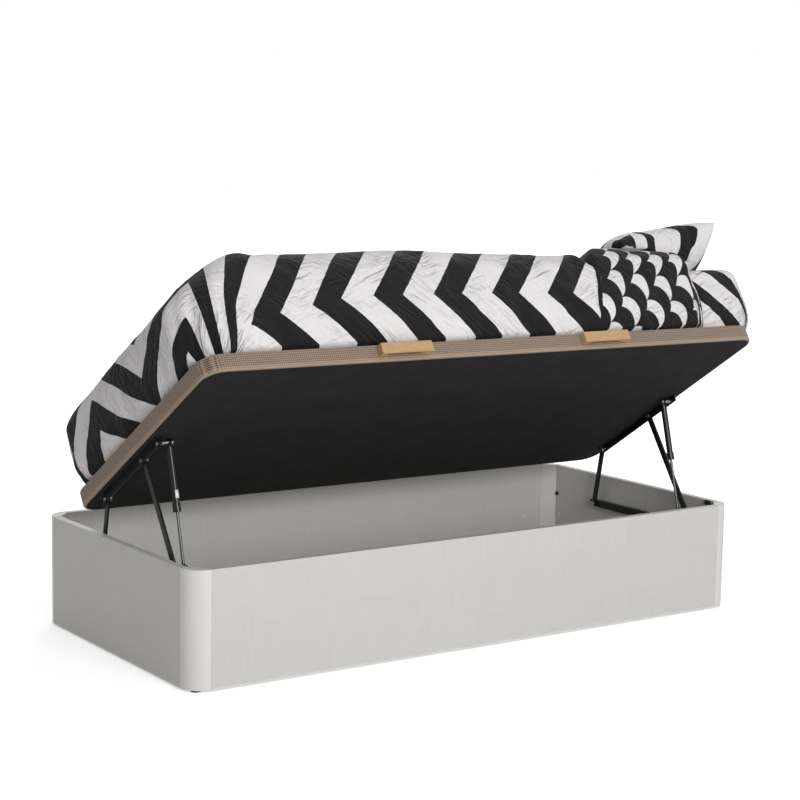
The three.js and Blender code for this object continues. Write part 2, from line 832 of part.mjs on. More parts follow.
const mattressLayer = {
  foot: mattressPlay - halfLength,
  head: halfLength + mattressOverhang,
  near: mattressPlay - boxWidth,
  far: -mattressPlay,
  footRadius: mattressFootRadius,
  headRadius: mattressHeadRadius,
  base: beddingBase,
  top: mattressTop - mattressCrown,
  shoulder: mattressShoulder,
  tuck: mattressTuck,
  bulge: mattressBulge,
  crown: mattressCrown,
  foldCount: 9,
  foldDepth: 0,
  longSteps: 9,
  endSteps: 4,
  cornerSteps: 4,
  heightShare: () => 1,
};

// A value that goes smoothly from 0 to 1 between two places.
function ease(x, from, to) {
  return THREE.MathUtils.smoothstep(x, from, to);
}

const foldedFrom = halfLength - turndownHem;
const foldedBy = halfLength - turndownTop;

function duvetHeightShare(x) {
  const full = mattressTop + duvetFootLoft - beddingBase;
  const rise = THREE.MathUtils.lerp(
    duvetFootEndLoft,
    duvetFootLoft,
    ease(x, -halfLength, duvetFootEndReach - halfLength),
  );
  const slope = THREE.MathUtils.lerp(rise, duvetHeadLoft, ease(x, -halfLength / 2, foldedBy));
  const loft = THREE.MathUtils.lerp(slope, duvetFoldedLoft, ease(x, foldedFrom, foldedBy));
  return (mattressTop + loft - beddingBase) / full;
}

const duvetLayer = {
  foot: -halfLength,
  head: halfLength - duvetEnd,
  near: -boxWidth,
  far: 0,
  footRadius: duvetFootRadius,
  headRadius: duvetHeadRadius,
  base: beddingBase,
  top: mattressTop + duvetFootLoft - duvetCrown,
  shoulder: duvetShoulder,
  tuck: duvetTuck,
  bulge: duvetProud,
  crown: duvetCrown,
  foldCount: duvetFoldCount,
  foldDepth: duvetFoldDepth,
  longSteps: 15,
  endSteps: 6,
  cornerSteps: 5,
  heightShare: duvetHeightShare,
  squeeze: (x) => duvetFoldedInset * ease(x, foldedFrom, foldedBy),
};

function turndownHeightShare(x) {
  const full = mattressTop + turndownFootLoft - beddingBase;
  const headward = ease(x, foldedBy, halfLength - turndownEnd);
  const loft = THREE.MathUtils.lerp(turndownFootLoft, turndownHeadLoft, headward);
  return (mattressTop + loft - beddingBase) / full;
}

const turndownLayer = {
  foot: -halfLength,
  head: halfLength - turndownEnd,
  near: -boxWidth,
  far: 0,
  footRadius: duvetFootRadius,
  headRadius: duvetHeadRadius,
  base: beddingBase,
  top: mattressTop + turndownFootLoft - duvetCrown,
  shoulder: turndownShoulder,
  tuck: duvetTuck / 2,
  bulge: turndownProud,
  crown: duvetCrown,
  foldCount: turndownFoldCount,
  foldDepth: turndownFoldDepth,
  longSteps: 17,
  endSteps: 6,
  cornerSteps: 5,
  heightShare: turndownHeightShare,
};

function mattress() {
  return piece("mattress", layerGeometry(mattressLayer), whiteCotton);
}

function duvet() {
  const outer = layerGeometry(duvetLayer);
  return piece("duvet", cut(outer, layerGeometry(mattressLayer, layerGap)), printedCotton);
}

// The turned-down end: its free edge slants from the hem at the lid to the crown.
function turndown() {
  const crest = turndownLayer.top + cutOverrun;
  const lean = (foldedBy - foldedFrom) / (crest - beddingBase);
  const low = beddingBase - cutOverrun;
  const high = crest + cutOverrun;
  const edge = (z) => foldedFrom + lean * (z - beddingBase);
  const end = halfLength + cutOverrun;
  const outline = new THREE.Shape([at(edge(low), low), at(end, low), at(end, high), at(edge(high), high)]);
  const region = longPlate(outline, -boxWidth - crownReach, crownReach);
  const outer = kept(layerGeometry(turndownLayer), region);
  const under = layerGeometry(duvetLayer, layerGap);
  const core = layerGeometry(mattressLayer, layerGap);
  return piece("duvet_turndown", cut(outer, under, core), printedCotton);
}

// Pillow: drawn-in edges between pointed corners, flatter above than below.
const pillowSteps = [12, 16];
const pillowFullness = 0.6;
function pillowPoint(across, along, face) {
  const x = across * (pillowWidth / 2 - pillowDraw * (1 - along ** 2));
  const y = along * (pillowLength / 2 - pillowDraw * (1 - across ** 2));
  const fullness = ((1 - across ** 4) * (1 - along ** 4)) ** pillowFullness;
  return new THREE.Vector3(x, y, (face > 0 ? pillowUpper : -pillowLower) * fullness);
}

function pillowGeometry() {
  const [acrossSteps, alongSteps] = pillowSteps;
  const positions = [];
  const index = [];
  const corner = (face, i, j) => (face * (acrossSteps + 1) + i) * (alongSteps + 1) + j;
  for (const face of [0, 1]) {
    for (let i = 0; i <= acrossSteps; i += 1) {
      for (let j = 0; j <= alongSteps; j += 1) {
        const point = pillowPoint((2 * i) / acrossSteps - 1, (2 * j) / alongSteps - 1, face);
        positions.push(...point.toArray());
      }
    }
    for (let i = 0; i < acrossSteps; i += 1) {
      for (let j = 0; j < alongSteps; j += 1) {
        const [a, b] = [corner(face, i, j), corner(face, i + 1, j)];
        const [c, d] = [corner(face, i + 1, j + 1), corner(face, i, j + 1)];
        index.push(...(face ? [a, b, c, a, c, d] : [a, c, b, a, d, c]));
      }
    }
  }
  const geometry = new THREE.BufferGeometry();
  geometry.setAttribute("position", new THREE.Float32BufferAttribute(positions, 3));
  geometry.setIndex(index);
  return geometry;
}

function pillow() {
  const x = halfLength + pillowOverhang - pillowWidth / 2;
  const y = pillowEdgeInset + pillowLength / 2 - boxWidth;
  const shape = pillowGeometry().rotateY(pillowTilt).translate(x, y, mattressTop + pillowSeamHeight);
  const under = layerGeometry(turndownLayer, layerGap);
  const core = layerGeometry(mattressLayer, layerGap);
  return piece("pillow", cut(shape, under, core), printedCotton);
}

// Assembly
function buildBox() {
  const made = new THREE.Group();
  made.add(longPanel("front_panel", [-halfWidth, -innerY]), longPanel("rear_panel", [innerY, halfWidth]));
  made.add(...cornerPieces());
  made.add(cleat("floor_cleat_front", -1), cleat("floor_cleat_rear", 1), centreBatten(), centreFoot());
  for (const [end, side] of sides) {
    made.add(endPanel(`${end}_panel`, side), floorBoard(`floor_board_${end}`, side));
    made.add(lidBuffer(`lid_buffer_${end}`, side), baseRail(`base_rail_${end}`, side));
    made.add(armPin(`rear_pivot_bolt_${end}`, side, railFace, rearPivot));
    made.add(strutStudLower(`strut_stud_lower_${end}`, side));
  }
  return made;
}

function buildLinkage() {
  const made = new THREE.Group();
  for (const [end, side] of sides) {
    made.add(rearArm(`rear_arm_${end}`, side), frontArm(`front_arm_${end}`, side));
    made.add(gasCylinder(`gas_cylinder_${end}`, side), gasRod(`gas_rod_${end}`, side));
  }
  return made;
}

function buildLid() {
  const made = new THREE.Group();
  made.add(lidCover(), undersideCloth(), lidFrame(), lidDeck());
  for (const [end, side] of sides) {
    made.add(pullHandle(`handle_${end}`, side), lidBracket(`lid_bracket_${end}`, side));
    made.add(armPin(`rear_arm_bolt_${end}`, side, bracketFace, rearPinOnLid));
    made.add(armPin(`front_arm_bolt_${end}`, side, bracketFace, frontPinOnLid));
    made.add(strutStudUpper(`strut_stud_upper_${end}`, side));
  }
  made.add(mattress(), duvet(), turndown(), pillow());
  made.position.set(0, openLid.x, openLid.y);
  made.rotation.x = -openTilt;
  return made;
}

const bed = new THREE.Group();
bed.name = "side_lift_storage_bed";
bed.add(buildBox(), buildLinkage(), buildLid());

export default bed;
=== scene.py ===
"""Looks of a side-lift storage bed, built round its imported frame.

The rigid pieces keep their frame meshes and get bevels and finishes. The bedding, the caps and bolt heads
inside the box, its edge strips and the sticker are modelled here, in metres, in the rigid pieces' frame.
"""

from __future__ import annotations

import json
import logging
import math
from dataclasses import dataclass, field
from enum import Enum
from functools import cached_property
from typing import Callable, Iterable, Sequence

import bpy
import numpy as np
from mathutils import Matrix, Vector, noise


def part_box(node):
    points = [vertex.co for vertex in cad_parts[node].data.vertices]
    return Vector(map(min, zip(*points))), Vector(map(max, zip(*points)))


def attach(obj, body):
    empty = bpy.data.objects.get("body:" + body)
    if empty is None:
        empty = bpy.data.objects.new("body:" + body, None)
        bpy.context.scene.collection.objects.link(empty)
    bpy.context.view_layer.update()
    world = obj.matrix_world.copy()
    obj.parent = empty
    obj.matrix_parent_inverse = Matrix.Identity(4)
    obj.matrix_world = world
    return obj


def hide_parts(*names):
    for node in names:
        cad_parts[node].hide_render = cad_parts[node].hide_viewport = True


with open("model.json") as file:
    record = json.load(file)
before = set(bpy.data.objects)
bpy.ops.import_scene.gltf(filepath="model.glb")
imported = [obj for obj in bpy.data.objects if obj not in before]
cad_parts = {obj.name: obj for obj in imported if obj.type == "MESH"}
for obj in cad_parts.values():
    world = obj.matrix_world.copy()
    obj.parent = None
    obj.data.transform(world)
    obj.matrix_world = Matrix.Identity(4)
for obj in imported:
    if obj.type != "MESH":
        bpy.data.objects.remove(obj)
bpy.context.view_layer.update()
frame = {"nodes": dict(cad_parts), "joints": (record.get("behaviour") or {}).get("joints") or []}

LOG = logging.getLogger("storage_bed")
MM = 0.001
Socket = bpy.types.NodeSocket
Number = float | int
ENDS = ("foot", "head")


def srgb(code: str) -> tuple[float, float, float, float]:
    """Turns a hexadecimal colour into linear values.

    Args:
        code: Six hexadecimal digits.

    Returns:
        Red, green, blue and an alpha of one.
    """
    shares = [int(code[i : i + 2], 16) / 255 for i in (0, 2, 4)]
    linear = [s / 12.92 if s <= 0.04045 else ((s + 0.055) / 1.055) ** 2.4 for s in shares]
    return (*linear, 1.0)


class Space(Enum):
    """Which coordinates a finish is laid out in."""

    ROOM = "room"
    LID = "lid"
    PRINT = "print"


@dataclass(frozen=True)
class LidPlace:
    """Where the lid's own frame lies: its origin is on the rear lower edge, with Y back to zero there."""

    tilt: float = math.radians(32.6)
    pin_inset: float = 118 * MM
    pin_drop: float = 11 * MM

    @property
    def origin(self) -> Vector:
        """The origin in the row frame, found from the lid's hinge.

        Returns:
            A point in metres.
        """
        hinge = next(j for j in frame["joints"] if j["name"] == "lid_lift")
        turn = Matrix.Rotation(-self.tilt, 3, "X")
        return Vector(hinge["pos_m"]) - turn @ Vector((0, -self.pin_inset, -self.pin_drop))

    @property
    def matrix(self) -> Matrix:
        """The lid's frame as a matrix in the row frame."""
        return Matrix.Translation(self.origin) @ Matrix.Rotation(-self.tilt, 4, "X")


LID = LidPlace()


@dataclass(frozen=True)
class Signal:
    """A number that flows through a node tree, with the usual arithmetic."""

    graph: Graph
    socket: Socket

    def __add__(self, other: Term) -> Signal:
        """Adds a number."""
        return self.graph.math("ADD", self, other)

    def __sub__(self, other: Term) -> Signal:
        """Takes a number away."""
        return self.graph.math("SUBTRACT", self, other)

    def __rsub__(self, other: Number) -> Signal:
        """Takes itself away from a number."""
        return self.graph.math("SUBTRACT", other, self)

    def __mul__(self, other: Term) -> Signal:
        """Multiplies by a number."""
        return self.graph.math("MULTIPLY", self, other)

    def __truediv__(self, other: Term) -> Signal:
        """Divides by a number."""
        return self.graph.math("DIVIDE", self, other)

    def __abs__(self) -> Signal:
        """Drops the sign."""
        return self.graph.math("ABSOLUTE", self)


Term = Signal | Number


class Graph:
    """Builds the nodes of a material or a world."""

    def __init__(self, owner: bpy.types.Material | bpy.types.World, space: Space = Space.ROOM) -> None:
        """Starts on the owner's tree.

        Args:
            owner: The material or the world.
            space: The coordinates that the detail follows.
        """
        owner.use_nodes = True
        self.owner = owner
        self.tree = owner.node_tree
        self.space = space

    @classmethod
    def material(cls, name: str, space: Space = Space.ROOM) -> Graph:
        """Starts a material of that name."""
        return cls(bpy.data.materials.new(name), space)

    @cached_property
    def place(self) -> Socket:
        """The coordinates, in metres.

        Returns:
            The socket that gives them.
        """
        if self.space is Space.PRINT:
            return self.node("ShaderNodeAttribute", attribute_name="print").outputs["Vector"]
        room = self.node("ShaderNodeTexCoord").outputs["Object"]
        if self.space is Space.ROOM:
            return room
        return self.turned(self.vector("SUBTRACT", room, tuple(LID.origin)), LID.tilt, "X_AXIS")

    def node(self, kind: str, **settings: object) -> bpy.types.Node:
        """Adds a node with its settings.

        Args:
            kind: The node's type.
            settings: Its properties by name.

        Returns:
            The new node.
        """
        made = self.tree.nodes.new(kind)
        for name, value in settings.items():
            setattr(made, name, value)
        return made

    def feed(self, socket: Socket, value: Term | Socket | Sequence[float]) -> None:
        """Links a value to a socket, or sets it there.

        Args:
            socket: The socket to fill.
            value: A signal, another socket or a plain value.
        """
        source = value.socket if isinstance(value, Signal) else value
        if isinstance(source, bpy.types.NodeSocket):
            self.tree.links.new(source, socket)
        else:
            socket.default_value = source

    def made_from(
        self, kind: str, values: Iterable[Term | Socket | Sequence[float]], **settings: object
    ) -> Socket:
        """Adds a node and feeds its first inputs.

        Args:
            kind: The node's type.
            values: What the inputs get, in their order.
            settings: The node's properties by name.

        Returns:
            Its first output.
        """
        made = self.node(kind, **settings)
        for socket, value in zip(made.inputs, values):
            self.feed(socket, value)
        return made.outputs[0]

    def math(self, operation: str, *values: Term) -> Signal:
        """Adds a Math node and returns its result."""
        return Signal(self, self.made_from("ShaderNodeMath", values, operation=operation))

    def sine(self, value: Term, pitch: float) -> Signal:
        """A wave that repeats every pitch."""
        return self.math("SINE", value * (2 * math.pi / pitch))

    def vector(self, operation: str, *values: Socket | Sequence[float]) -> Socket:
        """Adds a Vector Math node and returns its vector."""
        return self.made_from("ShaderNodeVectorMath", values, operation=operation)

    def turned(self, place: Socket, angle: float, axis: str = "Z_AXIS") -> Socket:
        """Turns coordinates about an axis.

        Args:
            place: The coordinates.
            angle: The turn in radians.
            axis: The axis, as the node names it.

        Returns:
            The turned coordinates.
        """
        made = self.node("ShaderNodeVectorRotate", rotation_type=axis)
        self.feed(made.inputs["Vector"], place)
        made.inputs["Angle"].default_value = angle
        return made.outputs["Vector"]

    def axes(self) -> list[Signal]:
        """Splits the coordinates into their three parts.

        Returns:
            The parts along X, Y and Z.
        """
        made = self.node("ShaderNodeSeparateXYZ")
        self.feed(made.inputs[0], self.place)
        return [Signal(self, part) for part in made.outputs]

    def joined(self, *parts: Term) -> Socket:
        """Joins three parts into coordinates."""
        return self.made_from("ShaderNodeCombineXYZ", parts)

    def stretched(self, scale: Sequence[float], place: Socket | None = None) -> Socket:
        """Coordinates multiplied by a scale for each axis."""
        return self.vector("MULTIPLY", place or self.place, tuple(scale))

    def noise(
        self, place: Socket | None = None, scale: float = 1.0, detail: float = 3.0, rough: float = 0.5
    ) -> Signal:
        """Adds a Noise Texture.

        Args:
            place: Coordinates, or none for the material's own.
            scale: Cells a metre.
            detail: Octaves.
            rough: Weight of the finer octaves.

        Returns:
            Values round one half.
        """
        made = self.node("ShaderNodeTexNoise")
        fields = {"Vector": place or self.place, "Scale": scale, "Detail": detail, "Roughness": rough}
        for name, value in fields.items():
            self.feed(made.inputs[name], value)
        return Signal(self, made.outputs["Fac"])

    def remap(
        self,
        value: Term,
        low: float,
        high: float,
        to_low: float = 0.0,
        to_high: float = 1.0,
        kind: str = "SMOOTHSTEP",
    ) -> Signal:
        """Maps a span of values onto another, and holds it at the ends."""
        spans = (value, low, high, to_low, to_high)
        return Signal(self, self.made_from("ShaderNodeMapRange", spans, interpolation_type=kind))

    def mix(self, share: Term, first: Socket | Sequence[float], second: Socket | Sequence[float]) -> Socket:
        """Mixes two colours.

        Args:
            share: How much of the second colour shows, from 0 to 1.
            first: The first colour.
            second: The second colour.

        Returns:
            The mixed colour.
        """
        made = self.node("ShaderNodeMix", data_type="RGBA")
        for index, value in ((0, share), (6, first), (7, second)):
            self.feed(made.inputs[index], value)
        return made.outputs[2]

    def bump(self, height: Signal, distance: float, normal: Socket | None = None) -> Socket:
        """Bends the normal by a relief.

        Args:
            height: The relief, from 0 to 1.
            distance: The height of 1 in metres.
            normal: The normal to start from, or none for the surface's own.

        Returns:
            The bent normal.
        """
        made = self.node("ShaderNodeBump")
        self.feed(made.inputs["Distance"], distance)
        self.feed(made.inputs["Height"], height)
        if normal:
            self.feed(made.inputs["Normal"], normal)
        return made.outputs["Normal"]

    def finish(self, **values: Term | Socket | Sequence[float]) -> bpy.types.Material:
        """Sets the shader's sockets by name, with underscores for spaces.

        Args:
            values: What each socket gets.

        Returns:
            The material.
        """
        shader = self.tree.nodes["Principled BSDF"]
        for name, value in values.items():
            self.feed(shader.inputs[name.replace("_", " ")], value)
        return self.owner


# Values such as grain and clouds are cells a metre, and depth is a relief in metres.
@dataclass(frozen=True)
class Laminate:
    """Pale laminate on board, with a fine upright grain."""

    name: str = "laminate"
    colour: str = "cccbc8"
    shade: str = "bcbab6"
    grain: tuple[float, float, float] = (700.0, 700.0, 9.0)
    weft: tuple[float, float, float] = (14.0, 14.0, 500.0)
    clouds: float = 5.0
    depth: float = 0.08 * MM
    roughness: float = 0.42

    def build(self) -> bpy.types.Material:
        """Makes the material.

        Returns:
            A pale material with an upright grain.
        """
        graph = Graph.material(self.name)
        fine = graph.noise(graph.stretched(self.grain), 1.0, 2.0, 0.6)
        weft = graph.noise(graph.stretched(self.weft), 1.0, 2.0)
        grain = fine * 0.65 + weft * 0.35
        share = graph.remap(grain, 0.3, 0.7) * 0.5 + graph.noise(None, self.clouds) * 0.25
        return graph.finish(
            Base_Color=graph.mix(share, srgb(self.colour), srgb(self.shade)),
            Roughness=grain * 0.12 + (self.roughness - 0.06),
            Normal=graph.bump(grain, self.depth),
        )


@dataclass(frozen=True)
class WrappedProfile:
    """Smooth foil on a rounded profile."""

    name: str = "edging"
    colour: str = "dcdbd9"
    shade: str = "d0cecb"
    grain: tuple[float, float, float] = (420.0, 420.0, 6.0)
    clouds: float = 7.0
    depth: float = 0.04 * MM
    roughness: float = 0.34

    def build(self) -> bpy.types.Material:
        """Makes the material.

        Returns:
            A pale material that is almost even.
        """
        graph = Graph.material(self.name)
        fine = graph.noise(graph.stretched(self.grain), 1.0, 2.0)
        cloud = graph.noise(None, self.clouds)
        return graph.finish(
            Base_Color=graph.mix(fine * 0.5 + cloud * 0.35, srgb(self.colour), srgb(self.shade)),
            Roughness=cloud * 0.14 + (self.roughness - 0.05),
            Normal=graph.bump(fine, self.depth),
        )


@dataclass(frozen=True)
class Timber:
    """Wood with grain lines along one axis and short flecks, both counted in its stretched coordinates."""

    name: str
    colour: str
    shade: str
    fleck: str
    scale: tuple[float, float, float]
    roughness: float
    coat: float = 0.0
    space: Space = Space.ROOM
    warping: float = 0.35
    rings: float = 1.6
    pores: float = 7.0
    depth: float = 0.12 * MM

    def build(self) -> bpy.types.Material:
        """Makes the material.

        Returns:
            A wooden material with rings and flecks.
        """
        graph = Graph.material(self.name, self.space)
        place = graph.stretched(self.scale)
        warp = graph.noise(place, self.warping, 2.0)
        bent = graph.vector("ADD", place, graph.joined(warp, warp, warp))
        rings = graph.noise(bent, self.rings, 4.0, 0.6)
        pore = graph.remap(graph.noise(graph.stretched((self.pores,) * 3, place), 1.0, 1.0), 0.62, 0.7)
        tone = graph.mix(graph.remap(rings, 0.35, 0.65), srgb(self.colour), srgb(self.shade))
        return graph.finish(
            Base_Color=graph.mix(pore * 0.55, tone, srgb(self.fleck)),
            Roughness=rings * 0.15 + (self.roughness - 0.07),
            Coat_Weight=self.coat,
            Coat_Roughness=0.25,
            Normal=graph.bump(rings - pore * 0.6, self.depth),
        )


@dataclass(frozen=True)
class Board:
    """Fibre board or paper with a pale face."""

    name: str = "hardboard"
    colour: str = "b9b6b0"
    shade: str = "a9a59d"
    roughness: float = 0.62
    fibres: float = 320.0
    clouds: float = 9.0
    depth: float = 0.1 * MM

    def build(self) -> bpy.types.Material:
        """Makes the material.

        Returns:
            A dull pale material.
        """
        graph = Graph.material(self.name)
        fibre = graph.noise(None, self.fibres, 4.0, 0.7)
        cloud = graph.noise(None, self.clouds)
        return graph.finish(
            Base_Color=graph.mix(fibre * 0.6 + cloud * 0.4, srgb(self.colour), srgb(self.shade)),
            Roughness=fibre * 0.2 + (self.roughness - 0.1),
            Normal=graph.bump(fibre, self.depth),
        )


@dataclass(frozen=True)
class Rubber:
    """Dull moulded rubber."""

    name: str = "rubber"
    colour: str = "1b1b1b"
    shade: str = "262625"
    roughness: float = 0.75
    grains: float = 900.0
    dust: float = 40.0
    depth: float = 0.06 * MM

    def build(self) -> bpy.types.Material:
        """Makes the material.

        Returns:
            A dull dark material.
        """
        graph = Graph.material(self.name)
        grain = graph.noise(None, self.grains, 3.0, 0.6)
        dust = graph.remap(graph.noise(None, self.dust, 4.0), 0.45, 0.75)
        return graph.finish(
            Base_Color=graph.mix(dust, srgb(self.colour), srgb(self.shade)),
            Roughness=grain * 0.2 + (self.roughness - 0.1),
            Normal=graph.bump(grain, self.depth),
        )


@dataclass(frozen=True)
class Coating:
    """Coat on steel: powder on the arms and rails, gloss on the strut cylinders, dark chrome on the rods."""

    name: str
    colour: str
    shade: str
    roughness: float
    depth: float
    metallic: float = 0.0
    wear: float = 55.0
    peel: float = 700.0

    def build(self) -> bpy.types.Material:
        """Makes the material.

        Returns:
            A material for coated steel.
        """
        graph = Graph.material(self.name)
        wear = graph.noise(None, self.wear, 5.0, 0.65)
        return graph.finish(
            Base_Color=graph.mix(graph.remap(wear, 0.5, 0.8), srgb(self.colour), srgb(self.shade)),
            Roughness=wear * 0.12 + (self.roughness - 0.06),
            Metallic=self.metallic,
            Specular_IOR_Level=0.3,
            Normal=graph.bump(graph.noise(None, self.peel, 2.0, 0.4), self.depth),
        )


@dataclass(frozen=True)
class Zinc:
    """Bright zinc plate with turning lines."""

    name: str = "zinc_steel"
    colour: str = "a3a6aa"
    shade: str = "7f8287"
    roughness: float = 0.28
    lines: tuple[float, float, float] = (2600.0, 260.0, 260.0)
    patina: float = 160.0
    depth: float = 0.03 * MM

    def build(self) -> bpy.types.Material:
        """Makes the material.

        Returns:
            A bright metal material.
        """
        graph = Graph.material(self.name)
        lines = graph.noise(graph.stretched(self.lines), 1.0, 2.0)
        patina = graph.noise(None, self.patina, 4.0, 0.6)
        return graph.finish(
            Base_Color=graph.mix(graph.remap(patina, 0.4, 0.7), srgb(self.colour), srgb(self.shade)),
            Metallic=1.0,
            Roughness=patina * 0.22 + (self.roughness - 0.1),
            Normal=graph.bump(lines, self.depth),
        )


@dataclass(frozen=True)
class SpacerMesh:
    """Knitted spacer fabric in a diamond net, with a paler rolled lower edge."""

    name: str = "mesh_fabric"
    thread: str = "9c8672"
    gap: str = "3b2f27"
    edge: str = "a38d77"
    pitch: float = 12.0 * MM
    edge_height: float = 13 * MM
    fibres: float = 1500.0
    clouds: float = 14.0
    depth: float = 0.9 * MM

    def build(self) -> bpy.types.Material:
        """Makes the material.

        Returns:
            A material with threads over dark gaps.
        """
        graph = Graph.material(self.name, Space.LID)
        x, y, z = graph.axes()
        along = x + y
        hole = graph.remap(graph.sine(along + z, self.pitch) * graph.sine(along - z, self.pitch), 0.05, 0.6)
        fibre = graph.noise(None, self.fibres, 2.0, 0.6)
        cloud = graph.noise(None, self.clouds)
        knit = graph.mix(hole, srgb(self.thread), srgb(self.gap))
        worn = graph.mix((cloud * 0.3 + fibre * 0.3) * 0.6, knit, srgb(self.gap))
        rolled = graph.remap(z, self.edge_height * 0.6, self.edge_height, 1.0, 0.0)
        shown = rolled * (1.0 - hole * 0.5)
        return graph.finish(
            Base_Color=graph.mix(shown * 0.85, worn, srgb(self.edge)),
            Roughness=0.9,
            Sheen_Weight=0.2,
            Sheen_Roughness=0.6,
            Normal=graph.bump(fibre * 0.3 - hole, self.depth),
        )


@dataclass(frozen=True)
class BackingCloth:
    """Black non-woven cloth with small pressed points."""

    name: str = "backing_cloth"
    colour: str = "1a1a1a"
    shade: str = "292929"
    pitch: float = 3.0 * MM
    fibres: float = 900.0
    clouds: float = 12.0
    depth: float = 0.25 * MM

    def build(self) -> bpy.types.Material:
        """Makes the material.

        Returns:
            A black cloth material.
        """
        graph = Graph.material(self.name, Space.LID)
        x, y, _ = graph.axes()
        pressed = graph.remap(graph.sine(x, self.pitch) * graph.sine(y, self.pitch), 0.45, 0.8)
        fibre = graph.noise(None, self.fibres, 4.0, 0.7)
        share = graph.remap(fibre * 0.6 + graph.noise(None, self.clouds, 4.0, 0.6) * 0.4, 0.35, 0.7)
        return graph.finish(
            Base_Color=graph.mix(share, srgb(self.colour), srgb(self.shade)),
            Roughness=0.95,
            Specular_IOR_Level=0.25,
            Normal=graph.bump(fibre * 0.7 - pressed, self.depth),
        )


@dataclass(frozen=True)
class Cotton:
    """Woven cotton for bedding: a ground and a print, with a fine weave and small creases."""

    name: str
    ground: str = "dedbdc"
    ink: str = "100f0f"
    worn_ink: str = "191818"
    soil: tuple[float, float, float, float] = (0.42, 0.40, 0.41, 1.0)
    weave: float = 0.9 * MM
    weave_depth: float = 0.12 * MM
    crease_depth: float = 8.5 * MM
    crease_runs: tuple[tuple[float, tuple[float, float, float]], ...] = (
        (0.7, (8.0, 48.0, 1.0)),
        (-0.35, (6.0, 30.0, 1.0)),
    )
    patches: float = 5.0
    swells: tuple[float, float, float] = (20.0, 12.0, 20.0)
    slubs: tuple[float, float, float] = (60.0, 900.0, 60.0)
    unevenness: float = 38.0

    def creases(self, graph: Graph) -> Signal:
        """Soft drag creases in two directions, with sharp crests that come and go.

        Args:
            graph: The material's graph.

        Returns:
            The creases' height.
        """
        shares = []
        for turn, scale in self.crease_runs:
            lines = graph.noise(graph.stretched(scale, graph.turned(graph.place, turn)), 1.0, 2.0)
            patch = graph.noise(graph.vector("ADD", graph.place, (turn, 2.0, 0.0)), self.patches, 2.0)
            crest = graph.remap(abs(lines * 4.0 - 2.0), 0.0, 0.7, 1.0, 0.0)
            shares.append(crest * graph.remap(patch, 0.42, 0.62))
        broad = graph.noise(graph.stretched(self.swells), 1.0, 3.0, 0.55)
        return broad * 1.2 + (shares[0] * 0.5 + shares[1])

    def mask(self, graph: Graph) -> Signal:
        """The print: 1 where the ink lies. Each kind of cloth has its own."""
        raise NotImplementedError

    def edge(self, graph: Graph, value: Signal, softness: float = 1.2 * MM) -> Signal:
        """A sharp edge where a distance passes zero."""
        return graph.remap(value, -softness, softness)

    def wobble(self, graph: Graph, reach: float) -> Signal:
        """A small unevenness of a printed outline, as a distance."""
        return graph.noise(None, self.unevenness) * reach - reach / 2

    def bands(self, graph: Graph, place: Signal, phase: float, pitch: float, band: float) -> Signal:
        """Parallel black bands, a pitch apart."""
        step = graph.math("WRAP", place - phase, pitch, 0.0)
        return self.edge(graph, band / 2 - abs(step - band / 2))

    def build(self) -> bpy.types.Material:
        """Makes the material.

        Returns:
            A printed material.
        """
        graph = Graph.material(self.name, Space.PRINT)
        x, y, _ = graph.axes()
        threads = graph.sine(x, self.weave) * 0.5 + graph.sine(y, self.weave) * 0.5
        slub = graph.noise(graph.stretched(self.slubs), 1.0, 2.0)
        tint = graph.noise(None, 4.0) * 0.08 + slub * 0.06
        ground = graph.mix(tint, srgb(self.ground), self.soil)
        black = graph.mix(slub * 0.5, srgb(self.ink), srgb(self.worn_ink))
        creased = graph.bump(self.creases(graph), self.crease_depth)
        return graph.finish(
            Base_Color=graph.mix(self.mask(graph), ground, black),
            Roughness=0.86,
            Sheen_Weight=0.04,
            Sheen_Roughness=0.5,
            Specular_IOR_Level=0.25,
            Normal=graph.bump(threads * 0.5 + slub, self.weave_depth, creased),
        )


@dataclass(frozen=True)
class Zigzag(Cotton):
    """Cotton with zigzag bands across the bed, dragged toward its hem at the foot end."""

    pitch: float = 196 * MM
    band: float = 95 * MM
    phase: float = -7 * MM
    point: float = -1047 * MM
    half_period: float = 305 * MM
    slope: float = 0.93
    drags: tuple[tuple[float, float, float], ...] = (
        (-800 * MM, -450 * MM, -45 * MM),
        (-1040 * MM, -760 * MM, -120 * MM),
    )

    def mask(self, graph: Graph) -> Signal:
        """Black bands, with points towards the foot end on the open side.

        Args:
            graph: The material's graph.

        Returns:
            The ink's share, from 0 to 1.
        """
        x, y, _ = graph.axes()
        across = y - self.point
        for low, high, drag in self.drags:
            across = across - graph.remap(x, low, high, drag, 0.0)
        away = graph.math("PINGPONG", across, self.half_period)
        moved = x - away * self.slope + self.wobble(graph, 5 * MM)
        return self.bands(graph, moved, self.phase, self.pitch, self.band)


